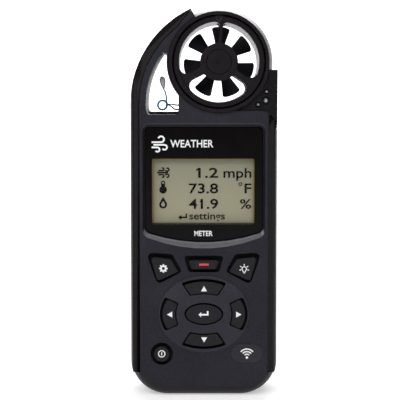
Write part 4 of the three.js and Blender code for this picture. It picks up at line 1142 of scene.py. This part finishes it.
# %% Lens and panel
lens_low, lens_high = corners("display_lens")
lens = copy_of("display_lens")
front_faces = [f for f in lens.faces if all(v.co.y < lens_low.y + 0.01 for v in f.verts)]
rim = []
for face in front_faces:
    for corner in face.loops:
        if corner.edge.calc_face_angle(0) > 1:
            rim.append((corner.vert.co.x, corner.vert.co.z))
lens.free()
opening = rounded_box(APERTURE["left"] + 1.0, APERTURE["right"] - 1.0, APERTURE["bottom"] + 1.05,
                      APERTURE["top"] - 1.0, 0.5)
mask = bmesh.new()
pierced_plate(mask, rim, [opening], lens_low.y, lens_high.y)
place_piece(mask, "display_lens_print", "housing", "lens_acrylic", stands_for=["display_lens"], soft=0.12)
pane = bmesh.new()
pierced_plate(pane, [(x * 0.9985, z) for x, z in opening], [], lens_low.y + 0.1, lens_low.y + 0.5)
place_piece(pane, "display_window", "housing", "lens_acrylic", CLEAR)

panel = copy_of("lcd_panel")
place_piece(panel, "display_panel", "housing", "panel_glass", stands_for=["lcd_panel"], soft=0.15)
print("lens outline has", len(rim), "points")

# %% [markdown]
# ## What the display says
#
# The readings are plain numbers with their units, beside a wind sign, a thermometer and a drop. The
# rows stand on their baselines, and letters are stretched to the width of their column. The built-in
# figure one has no flag, so a small one is added to each.

# %% Readings
INK_Y = panel_low.y - 0.06
WIND_BASE, HEAT_BASE, DAMP_BASE, HINT_BASE = 71.74, 66.63, 61.55, 58.0
WORDS = [  # words, name, left edge, baseline, height, width, added weight
    ("1.2", "reading_1", -1.86, WIND_BASE, 3.3, 6.56, 0.075),
    ("73.8", "reading_2", -4.92, HEAT_BASE, 3.3, 9.62, 0.075),
    ("41.9", "reading_3", -4.92, DAMP_BASE, 3.3, 9.62, 0.075),
    ("mph", "reading_unit_1", 6.44, WIND_BASE, 3.3, 9.15, 0.06),
    ("F", "reading_unit_2", 13.35, HEAT_BASE, 3.3, 2.25, 0.07),
    ("%", "reading_unit_3", 11.84, DAMP_BASE, 3.2, 3.75, 0.05),
    ("settings", "reading_hint", -4.76, HINT_BASE, 2.45, 11.7, 0.05),
]
for words, name, left, base, height, width, weight in WORDS:
    lettering(words, name, "housing", left, base, height, INK_Y, width, weight, DISPLAY_INK)
strokes([(circle(12.0, 69.6, 0.48, 16), True)], 0.3, "reading_degree", "housing", INK_Y, DISPLAY_INK)

for i, (tip_x, top_z) in enumerate([(-1.72, 75.05), (-0.42, 64.85)]):
    flag = [(tip_x, top_z), (tip_x - 0.85, top_z - 0.75), (tip_x - 0.85, top_z - 1.25),
            (tip_x + 0.1, top_z - 0.65)]
    ink([flag], f"reading_one_{i + 1}", "housing", INK_Y, DISPLAY_INK)
ink([return_arrow(-8.45, -7.35, -6.0, -5.5, 58.65, 0.25, 1.25)], "reading_arrow", "housing", INK_Y,
    DISPLAY_INK)

wind_z = 73.25
wind = [
    ([(-15.3, wind_z + 0.1), (-11.7, wind_z + 0.1)], False),
    ([(-14.9, wind_z + 0.75), (-13.6, wind_z + 0.75)] + arc(-13.5, wind_z + 1.2, 0.45, 180, -30, 6), False),
    ([(-12.7, wind_z + 0.75)] + arc(-11.9, wind_z + 1.1, 0.5, 200, -40, 6), False),
    ([(-14.9, wind_z - 0.55), (-13.6, wind_z - 0.55)] + arc(-13.5, wind_z - 1.0, 0.45, 0, 210, 6), False),
    ([(-12.7, wind_z - 0.55)] + arc(-11.9, wind_z - 0.9, 0.5, -20, 220, 6), False),
]
strokes(wind, 0.5, "reading_wind_sign", "housing", INK_Y, DISPLAY_INK)

thermo_x = -13.35
glass = arc(thermo_x, 67.75, 1.25, 28, 332, 24) + arc(thermo_x, 70.0, 0.72, 270, 450, 10)
thermometer = bmesh.new()
pierced_plate(thermometer, glass, [circle(thermo_x, 70.0, 0.34, 12)], INK_Y, INK_Y + INK)
place_piece(thermometer, "reading_thermometer", "housing", finish=DISPLAY_INK)
drop_shape = bmesh.new()
drop = [(thermo_x, 65.4)] + arc(thermo_x, 62.85, 1.3, 62, 298, 20)
hollow = [(thermo_x, 64.1)] + arc(thermo_x, 62.8, 0.62, 60, 300, 14)
pierced_plate(drop_shape, drop, [hollow], INK_Y, INK_Y + INK)
place_piece(drop_shape, "reading_drop", "housing", finish=DISPLAY_INK)
print("words on the display:", len(WORDS))

# %% [markdown]
# ## Marks on the lens
#
# Two generic words and a wind sign are printed in white on the black border of the lens. The sign is
# three gusts, each a straight line that runs into an arc.

# %% Plain marks printed on the lens
LENS_MARK_Y = lens_low.y - INK / 2
lettering("WEATHER", "lens_word", "housing", -10.9, 81.75, 2.5, LENS_MARK_Y, 14.0, 0.045)
lettering("METER", "lens_word_lower", "housing", -3.1, 52.75, 1.75, LENS_MARK_Y, 6.0, 0.04)
sign_x, sign_z = -17.0, 82.9
GUSTS = [  # left, right, height, then the arc's middle, radius, start and end
    (0, 2.5, 0.5, 3.1, 1.45, 0.95, 180, -70),
    (0.6, 3.8, -0.35, 4.2, -1.15, 0.8, 0, 235),
    (0, 1.5, -1.2, 1.9, -1.9, 0.7, 0, 235),
]
gusts = [([(sign_x + left, sign_z + up), (sign_x + right, sign_z + up)]
          + arc(sign_x + mid_x, sign_z + mid_z, radius, start, end, 12), False)
         for left, right, up, mid_x, mid_z, radius, start, end in GUSTS]
strokes(gusts, 0.55, "lens_wind_sign", "housing", LENS_MARK_Y)
print("gusts in the sign:", len(gusts))


# %% [markdown]
# ## The wireless badge
#
# A small pill-shaped plate beside the keys says that the meter has a radio. A raised rim runs round
# it, and three arcs over a dot stand for the radio.

# %% Badge
badge_low, badge_high = corners("wireless_badge")
badge_mid = (badge_low + badge_high) / 2
half_high = (badge_high.z - badge_low.z) / 2
badge = bmesh.new()
pierced_plate(badge, rounded_box(badge_low.x, badge_high.x, badge_low.z, badge_high.z, half_high, 10), [],
              badge_low.y, badge_high.y)
place_piece(badge, "wireless_badge_plate", "housing", "badge_plastic", stands_for=["wireless_badge"],
            soft=0.12, steps=3)
border = rounded_box(badge_low.x + 0.2, badge_high.x - 0.2, badge_low.z + 0.2, badge_high.z - 0.2,
                     half_high - 0.2, 10)
strokes([(border, True)], 0.14, "wireless_badge_rim", "housing", badge_low.y, FINISH["badge_plastic"])
waves = [(arc(badge_mid.x, badge_mid.z - 1.25, radius, -48, 48, 12), False) for radius in (1.0, 1.85, 2.7)]
strokes(waves, 0.42, "wireless_badge_waves", "housing", badge_low.y - INK / 2)
ink([circle(badge_mid.x, badge_mid.z - 1.35, 0.42, 20)], "wireless_badge_dot", "housing",
    badge_low.y - INK)
print("badge is", round(badge_high.x - badge_low.x, 1), "by", round(2 * half_high, 1), "mm")


# %% [markdown]
# ## The impeller module's guard
#
# A ring, three arms and a hub protect the impeller. The arms run into the ring and the hub through
# round fillets, one tangent arc at each corner, so each opening is drawn as one outline of arcs.
# The top arm is slimmer than the two lower ones.

# %% Outlines of the guard's openings
HUB_R = 6.15
BORE_R = 13.0
INNER_FILLET = 1.2
ARMS = [(0.0, 0.5, 1.5), (120.5, 1.1, 2.4), (239.5, 1.1, 2.4)]


def opening_between(first, second, bore, hub, inner_fillet):
    """The outline between two arms, clockwise. An arm is (angle, half width, outer fillet)."""
    angle, half, outer = first
    start = Vector((math.sin(math.radians(angle)), math.cos(math.radians(angle))))
    side = Vector((start.y, -start.x))
    reach = math.sqrt((bore - outer) ** 2 - (half + outer) ** 2)
    centre = start * reach + side * (half + outer)
    lead = math.degrees(math.atan2(centre.x, centre.y)) % 360
    points = arc(DUCT_X + centre.x, DUCT_Z + centre.y, outer, angle - 90, lead, 8)
    next_angle, next_half, next_outer = second
    end = Vector((math.sin(math.radians(next_angle)), math.cos(math.radians(next_angle))))
    next_side = Vector((-end.y, end.x))
    next_reach = math.sqrt((bore - next_outer) ** 2 - (next_half + next_outer) ** 2)
    next_centre = end * next_reach + next_side * (next_half + next_outer)
    trail = math.degrees(math.atan2(next_centre.x, next_centre.y)) % 360
    points += arc(DUCT_X, DUCT_Z, bore, lead, trail, 28)[1:-1]
    points += arc(DUCT_X + next_centre.x, DUCT_Z + next_centre.y, next_outer, trail, next_angle + 90, 8)
    deep = math.sqrt((hub + inner_fillet) ** 2 - (next_half + inner_fillet) ** 2)
    low_centre = end * deep + next_side * (next_half + inner_fillet)
    inner_trail = math.degrees(math.atan2(low_centre.x, low_centre.y)) % 360
    points += arc(DUCT_X + low_centre.x, DUCT_Z + low_centre.y, inner_fillet, next_angle + 90,
                  inner_trail + 180, 6)
    first_deep = math.sqrt((hub + inner_fillet) ** 2 - (half + inner_fillet) ** 2)
    first_centre = start * first_deep + side * (half + inner_fillet)
    inner_lead = math.degrees(math.atan2(first_centre.x, first_centre.y)) % 360
    points += arc(DUCT_X, DUCT_Z, hub, inner_trail, inner_lead, 18)[1:-1]
    points += arc(DUCT_X + first_centre.x, DUCT_Z + first_centre.y, inner_fillet, inner_lead + 180,
                  angle + 270, 6)
    return points


def openings_of(hub):
    rounds = ARMS + [(ARMS[0][0] + 360, *ARMS[0][1:])]
    return [opening_between(a, b, BORE_R, hub, INNER_FILLET) for a, b in zip(rounds, rounds[1:])]


print("openings:", len(openings_of(HUB_R)))


# %% [markdown]
# ## Guard
#
# The ring and the arms are two pieces, because the ring is spun and the arms are a flat plate with
# openings. Behind the cap the hub is open right through, which is wider than the bore in the CAD.

# %% Guard
CAP_R = 3.95
GUARD_FRONT = guard_low.y
ARM_FRONT = GUARD_FRONT + 0.5
ARM_BACK = guard_high.y
RING_BACK = GUARD_FRONT + 1.5
arms = bmesh.new()
pierced_plate(arms, circle(DUCT_X, DUCT_Z, BORE_R + 0.4, 96),
              openings_of(HUB_R) + [circle(DUCT_X, DUCT_Z, CAP_R + 0.15, 72)], ARM_FRONT, ARM_BACK)
turn_module(arms)
place_piece(arms, "module_guard_arms", "impeller_module", "smooth_plastic", soft=0.3, steps=3)
ring = bmesh.new()
turned(ring, [(BORE_R, RING_BACK), (BORE_R, GUARD_FRONT + 0.25), (BORE_R + 0.25, GUARD_FRONT),
              (MODULE_R - 0.35, GUARD_FRONT), (MODULE_R, GUARD_FRONT + 0.35), (MODULE_R, RING_BACK)],
       DUCT_X, DUCT_Z, 128)
place_piece(ring, "module_guard_ring", "impeller_module", "smooth_plastic", stands_for=["module_guard"],
            soft=0.08)
print("guard is", round(ARM_BACK - GUARD_FRONT, 1), "mm deep")

# %% [markdown]
# ## Seal
#
# The module slides in its bore with a little play. A thin rubber ring, which the CAD leaves out,
# closes the gap so that no light shows round the module.

# %% Seal ring
SEAL_FRONT, SEAL_BACK = -10.6, -9.8
SEAL_R = DUCT_R - 0.05
seal = bmesh.new()
SEAL_INNER = MODULE_R - 0.1
turned(seal, [(SEAL_INNER, SEAL_FRONT), (SEAL_R, SEAL_FRONT), (SEAL_R, SEAL_BACK),
              (SEAL_INNER, SEAL_BACK)], DUCT_X, DUCT_Z, 96)
place_piece(seal, "module_seal", "impeller_module", "seal_rubber", soft=0.03)
print("seal is", round(SEAL_R - SEAL_INNER, 2), "mm thick")

# %% [markdown]
# ## Cap
#
# A disc closes the guard's hub. It has a star-shaped key recess with dimples round it, cut right
# through a thin plate, and a second plate behind makes their floor.

# %% Cap in the guard's hub
cap_low = corners("guard_cap")[0].y
star = []
for point in range(12):
    star += arc(DUCT_X, DUCT_Z, 0.72 if point % 2 else 0.98, point * 30 - 7, point * 30 + 7, 1)
dimples = [circle(*arc(DUCT_X, DUCT_Z - 0.15, 1.75, a, a, 1)[0], 0.17, 10) for a in range(20, 380, 60)]
cap = bmesh.new()
pierced_plate(cap, circle(DUCT_X, DUCT_Z, CAP_R, 72), [star] + dimples, cap_low, cap_low + 0.35)
pierced_plate(cap, circle(DUCT_X, DUCT_Z, CAP_R - 0.2, 48), [], cap_low + 0.36, cap_low + 0.6)
turn_module(cap)
place_piece(cap, "guard_cap_disc", "impeller_module", "smooth_plastic", stands_for=["guard_cap"],
            soft=0.06)
emblem_x, emblem_z = DUCT_X, DUCT_Z + 13.75
emblem = [(emblem_x - 1.15, emblem_z + 0.95), (emblem_x + 1.15, emblem_z + 0.95),
          (emblem_x, emblem_z - 1.15)]
strokes([(emblem, True)], 0.26, "guard_arrow", "impeller_module", GUARD_FRONT - 0.01,
        FINISH["mark_plastic"])
print("dimples in the cap:", len(dimples))

# %% [markdown]
# ## Sleeve
#
# Behind the guard a thin sleeve lines the duct, and three rear arms cross it. Its bright inner wall
# is what shows round the edge of the openings. The CAD's rear hub has a bore for the back bearing.
# The hub here is closed, so the bearing and the end of the axle are hidden inside it.

# %% Sleeve
sleeve_low, sleeve_high = corners("module_sleeve")
lining = bmesh.new()
turned(lining, [(BORE_R, sleeve_low.y), (BORE_R, sleeve_high.y - 0.3), (BORE_R + 0.3, sleeve_high.y),
                (MODULE_R - 0.3, sleeve_high.y), (MODULE_R, sleeve_high.y - 0.3), (MODULE_R, sleeve_low.y)],
       DUCT_X, DUCT_Z, 128)
place_piece(lining, "module_sleeve_lining", "impeller_module", "smooth_plastic",
            stands_for=["module_sleeve"], soft=0.05)
REAR_ARM_FRONT, REAR_ARM_BACK, REAR_HUB = 1.0, 3.5, 4.4
rear_arms = bmesh.new()
pierced_plate(rear_arms, circle(DUCT_X, DUCT_Z, BORE_R + 0.4, 96), openings_of(REAR_HUB),
              REAR_ARM_FRONT, REAR_ARM_BACK)
turn_module(rear_arms)
place_piece(rear_arms, "module_sleeve_arms", "impeller_module", "smooth_plastic", soft=0.3, steps=3)
print("sleeve runs from", round(sleeve_low.y, 1), "to", round(sleeve_high.y, 1), "mm in Y")


# %% [markdown]
# ## Impeller
#
# Seven blades stand on a small hub. A blade starts as one flat outline with rounded tip corners. It is
# given thickness, cut across its length with `bisect_plane` so that it can bend, and then twisted:
# steep at the root, flatter at the tip, as on any propeller.

# %% Impeller
rotor_low, rotor_high = corners("impeller")
ROTOR_Y = (rotor_low.y + rotor_high.y) / 2
ROTOR_HUB, TIP_R = 5.5, 11.65
ROOT_HALF, TIP_HALF, BLADE_THICK = 1.4, 3.6, 0.8
ROOT_PITCH, TIP_PITCH = math.radians(48), math.radians(36)
BLADES = 7
rotor = bmesh.new()
single = bmesh.new()
tip_side = math.degrees(math.asin(TIP_HALF / TIP_R))
root = ROTOR_HUB - 1.3
corner = 0.45
shoulder = TIP_R - 1.05
profile = ([(ROOT_HALF, root)] + [(TIP_HALF, shoulder - 0.1)]
           + arc(TIP_HALF - corner, shoulder, corner, 95, 30, 4)
           + arc(0, 0, TIP_R, tip_side - 3, 3 - tip_side, 10)
           + arc(corner - TIP_HALF, shoulder, corner, -30, -95, 4)
           + [(-TIP_HALF, shoulder - 0.1), (-ROOT_HALF, root)])
pierced_plate(single, profile, [], -BLADE_THICK / 2, BLADE_THICK / 2)
for step in range(1, 8):
    cut = root + (TIP_R - root) * step / 8
    bmesh.ops.bisect_plane(single, geom=single.verts[:] + single.edges[:] + single.faces[:],
                           plane_co=(0, 0, cut), plane_no=(0, 0, 1))
for vert in single.verts:
    share = (vert.co.z - root) / (TIP_R - root)
    pitch = ROOT_PITCH + (TIP_PITCH - ROOT_PITCH) * share
    slim = 1 - 0.35 * abs(vert.co.x) / TIP_HALF
    twisted = Matrix.Rotation(pitch, 3, "Z") @ Vector((vert.co.x, vert.co.y * slim, 0))
    vert.co = (twisted.x, twisted.y, vert.co.z)
bmesh.ops.translate(single, vec=(0, ROTOR_Y, 0), verts=single.verts)
blade_mesh = bpy.data.meshes.new("one_blade")
single.to_mesh(blade_mesh)
single.free()
for number in range(BLADES):
    before = len(rotor.verts)
    rotor.from_mesh(blade_mesh)
    rotor.verts.ensure_lookup_table()
    bmesh.ops.rotate(rotor, cent=(0, 0, 0), matrix=Matrix.Rotation(math.tau * number / BLADES, 3, "Y"),
                     verts=rotor.verts[before:])
bmesh.ops.translate(rotor, vec=(DUCT_X, 0, DUCT_Z), verts=rotor.verts)
turn_module(rotor)
turned(rotor, [(0.8, rotor_high.y), (0.8, rotor_low.y + 0.6), (1.6, rotor_low.y),
               (ROTOR_HUB - 0.8, rotor_low.y), (ROTOR_HUB, rotor_low.y + 0.8),
               (ROTOR_HUB, rotor_high.y)], DUCT_X, DUCT_Z, 72)
place_piece(rotor, "impeller_rotor", "rotor", "impeller_plastic", stands_for=["impeller"], soft=0.12)
print("blades:", BLADES, "tip radius", TIP_R)


# %% [markdown]
# ## Temperature bead
#
# The air temperature sensor is a drop of glass-filled epoxy on two fine leads. It is a spun drop,
# blunt above and narrow where the leads leave it, smoothed by a subdivision surface.

# %% Bead
def turned_upright(profile, steps, merge):
    """Spin an open profile of (radius, height) points about the Z axis."""
    shape = bmesh.new()
    verts = [shape.verts.new((radius, 0, height)) for radius, height in profile]
    chain = [shape.edges.new(pair) for pair in zip(verts, verts[1:])]
    bmesh.ops.spin(shape, geom=verts + chain, cent=(0, 0, 0), axis=(0, 0, 1), angle=math.tau,
                   steps=steps, use_merge=True)
    bmesh.ops.remove_doubles(shape, verts=shape.verts, dist=merge)
    bmesh.ops.recalc_face_normals(shape, faces=shape.faces)
    return shape


BEAD_LEAN = math.radians(-9)
bead_mid = middle("thermistor_bead")
drop_profile = [(0.0, -2.65), (0.25, -2.6), (0.3, -2.1), (0.5, -1.5), (0.84, -0.5), (1.06, 0.5),
                (1.0, 1.3), (0.6, 1.92), (0.0, 2.12)]
bead = turned_upright(drop_profile, 24, 0.002)
bmesh.ops.rotate(bead, cent=(0, 0, 0), matrix=Matrix.Rotation(BEAD_LEAN, 3, "Y"), verts=bead.verts)
bmesh.ops.translate(bead, vec=bead_mid, verts=bead.verts)
bead_piece = place_piece(bead, "thermistor_bead_drop", "housing", "bead_glass",
                         stands_for=["thermistor_bead"])
smooth = bead_piece.modifiers.new("smooth", "SUBSURF")
smooth.levels = 1
smooth.render_levels = 1
print("bead at", [round(v, 1) for v in bead_mid])

# %% [markdown]
# ## Cell
#
# The AA cell shows when the battery door swings open. It is spun from one profile: a flat end, the
# jacket, and the button at the top.

# %% Cell
cell_mid = middle("battery_cell")
cell_r = (cell_high.x - cell_low.x) / 2
end, button = cell_low.z, cell_high.z
steps_up = [(0.0, end), (4.6, end), (4.8, end + 0.2), (cell_r - 0.5, end + 0.2), (cell_r, end + 0.7),
            (cell_r, button - 1.7), (cell_r - 0.5, button - 1.2), (5.6, button - 1.3),
            (5.2, button - 1.0), (2.9, button - 1.0), (2.75, button - 0.2), (2.5, button),
            (0.0, button)]
cell = turned_upright(steps_up, 64, 0.001)
bmesh.ops.translate(cell, vec=(cell_mid.x, cell_mid.y, 0), verts=cell.verts)
place_piece(cell, "battery_cell_body", "housing", "cell_jacket", stands_for=["battery_cell"], soft=0.1)
print("cell is", round(button - end, 1), "mm long")

# %% [markdown]
# ## Pieces inside
#
# The board, its parts, the light guide and the seals are plain shapes that the CAD has right. They
# stay as they are and take their finishes from the list.

# %% Finishes for the CAD pieces that stay
STAYING = {
    "housing_gasket": "seal_rubber", "light_guide": "guide_acrylic", "lcd_connector": "seal_rubber",
    "main_board": "board_laminate", "keypad_membrane": "seal_rubber", "dome_sheet": "clear_polyester",
    "processor_chip": "chip_epoxy", "radio_module": "steel", "pressure_sensor": "steel",
    "humidity_sensor": "chip_epoxy", "wind_pickup_coil": "coil_copper", "battery_contact": "steel",
    "door_seal": "seal_rubber",
}
for node, slot in STAYING.items():
    data = frame["nodes"][node].data
    data.materials.clear()
    data.materials.append(FINISH[slot])
print("CAD pieces that stay:", len(STAYING))


# %% [markdown]
# ## Floor, light and camera
#
# The meter stands on a pale floor in front of a white screen. A wide soft box overhead draws the
# bright lines along upward edges, and weak boxes at the sides keep the black plastic from going
# flat. The screen behind shines through the duct and in its polished walls.

# %% Floor and screen
def plain_stage(name, colour, glow):
    material, nodes, links = new_material(name)
    place = nodes.new("ShaderNodeTexCoord")
    place.label = "Place on the stage"
    tooth = nodes.new("ShaderNodeTexNoise")
    tooth.label = "Paper tooth"
    tooth.inputs["Scale"].default_value = 60
    bump = nodes.new("ShaderNodeBump")
    bump.label = "Tooth relief"
    bump.inputs["Distance"].default_value = 0.0002
    shader = nodes.new("ShaderNodeBsdfPrincipled")
    shader.label = "Pale paper"
    shader.inputs["Base Color"].default_value = colour
    shader.inputs["Roughness"].default_value = 0.8
    shader.inputs["Emission Color"].default_value = (1, 1, 1, 1)
    shader.inputs["Emission Strength"].default_value = glow
    out = nodes.new("ShaderNodeOutputMaterial")
    out.label = "Surface"
    paper, result = (nodes.new("NodeFrame") for _ in range(2))
    paper.label = "Paper"
    result.label = "Result"
    arrange({paper: [place, tooth, bump], result: [shader, out]})
    links.new(place.outputs["Object"], tooth.inputs["Vector"])
    links.new(tooth.outputs["Fac"], bump.inputs["Height"])
    links.new(bump.outputs["Normal"], shader.inputs["Normal"])
    links.new(shader.outputs["BSDF"], out.inputs["Surface"])
    return material


def stage_sheet(name, points, finish):
    shape = bmesh.new()
    shape.faces.new([shape.verts.new(point) for point in points])
    mesh = bpy.data.meshes.new(name)
    shape.to_mesh(mesh)
    shape.free()
    mesh.materials.append(finish)
    sheet = bpy.data.objects.new(name, mesh)
    bpy.context.scene.collection.objects.link(sheet)


wide, half_screen, far, tall = 3.0, 0.8, 0.9, 1.6
stage_sheet("floor", [(-wide, -wide, 0), (wide, -wide, 0), (wide, wide, 0), (-wide, wide, 0)],
            plain_stage("floor_paper", (0.86, 0.86, 0.86, 1), 0.45))
stage_sheet("screen", [(-half_screen, far, 0.0), (half_screen, far, 0.0), (half_screen, far, tall),
                       (-half_screen, far, tall)], plain_stage("screen_paper", (0.8, 0.8, 0.8, 1), 1.0))
print("screen stands", far, "m behind the meter")

# %% Lights
world = bpy.data.worlds.new("room")
world.use_nodes = True
sky = world.node_tree.nodes["Background"]
sky.inputs["Color"].default_value = (1, 1, 1, 1)
path = world.node_tree.nodes.new("ShaderNodeLightPath")
path.label = "Seen straight on"
level = world.node_tree.nodes.new("ShaderNodeMapRange")
level.label = "Bright to look at, dim to light by"
level.inputs["To Min"].default_value = 0.09
level.inputs["To Max"].default_value = 1.0
world.node_tree.links.new(path.outputs["Is Camera Ray"], level.inputs["Value"])
world.node_tree.links.new(level.outputs["Result"], sky.inputs["Strength"])
bpy.context.scene.world = world


def soft_box(name, place, size, power, target=(0, 0, 0.07)):
    lamp = bpy.data.lights.new(name, "AREA")
    lamp.shape = "RECTANGLE"
    lamp.size, lamp.size_y = size
    lamp.energy = power
    box = bpy.data.objects.new(name, lamp)
    box.location = place
    aim = Vector(target) - Vector(place)
    box.rotation_euler = aim.to_track_quat("-Z", "Y").to_euler()
    bpy.context.scene.collection.objects.link(box)


soft_box("front_top", (-0.12, -0.95, 0.78), (1.0, 0.5), 6.6)
soft_box("overhead", (-0.1, -0.1, 1.1), (0.8, 0.4), 2.0)
soft_box("left_side", (-0.6, -0.45, 0.35), (0.25, 0.4), 0.07)
soft_box("right_side", (0.6, -0.45, 0.35), (0.25, 0.4), 0.06)
soft_box("window_side", (-0.15, -0.12, 0.2), (0.08, 0.05), 0.06, (-0.0135, 0, 0.105))
soft_box("rear", (0.1, 0.7, 0.55), (0.5, 0.4), 3.0)
print("lights:", len(bpy.data.lights))

# %% [markdown]
# ## Camera
#
# The camera stands nearly half a metre in front of the meter, at about the height of the duct's foot,
# and looks down a little. Its lens is long, so the meter's sides stay nearly parallel.

# %% Camera
DISTANCE = 450 * MM
FIELD = 130 * MM  # width of what the camera sees at the meter's face
FACE_IN = 1.2 * MM
EYE_Z, AIM_Z = 96.6 * MM, 64.6 * MM
SENSOR = 36
camera_data = bpy.data.cameras.new("camera")
camera = bpy.data.objects.new("camera", camera_data)
bpy.context.scene.collection.objects.link(camera)
bpy.context.scene.camera = camera
front = cad_low.y + FACE_IN
camera.location = (0, front - DISTANCE, EYE_Z)
aim = Vector((0, front, AIM_Z)) - camera.location
camera.rotation_euler = aim.to_track_quat("-Z", "Y").to_euler()
camera_data.sensor_width = SENSOR
camera_data.lens = SENSOR * DISTANCE / FIELD
camera_data.shift_x = -0.0095
camera_data.clip_start = 0.01
bpy.context.scene.view_settings.view_transform = "Standard"
print("lens:", round(camera_data.lens, 1), "mm")
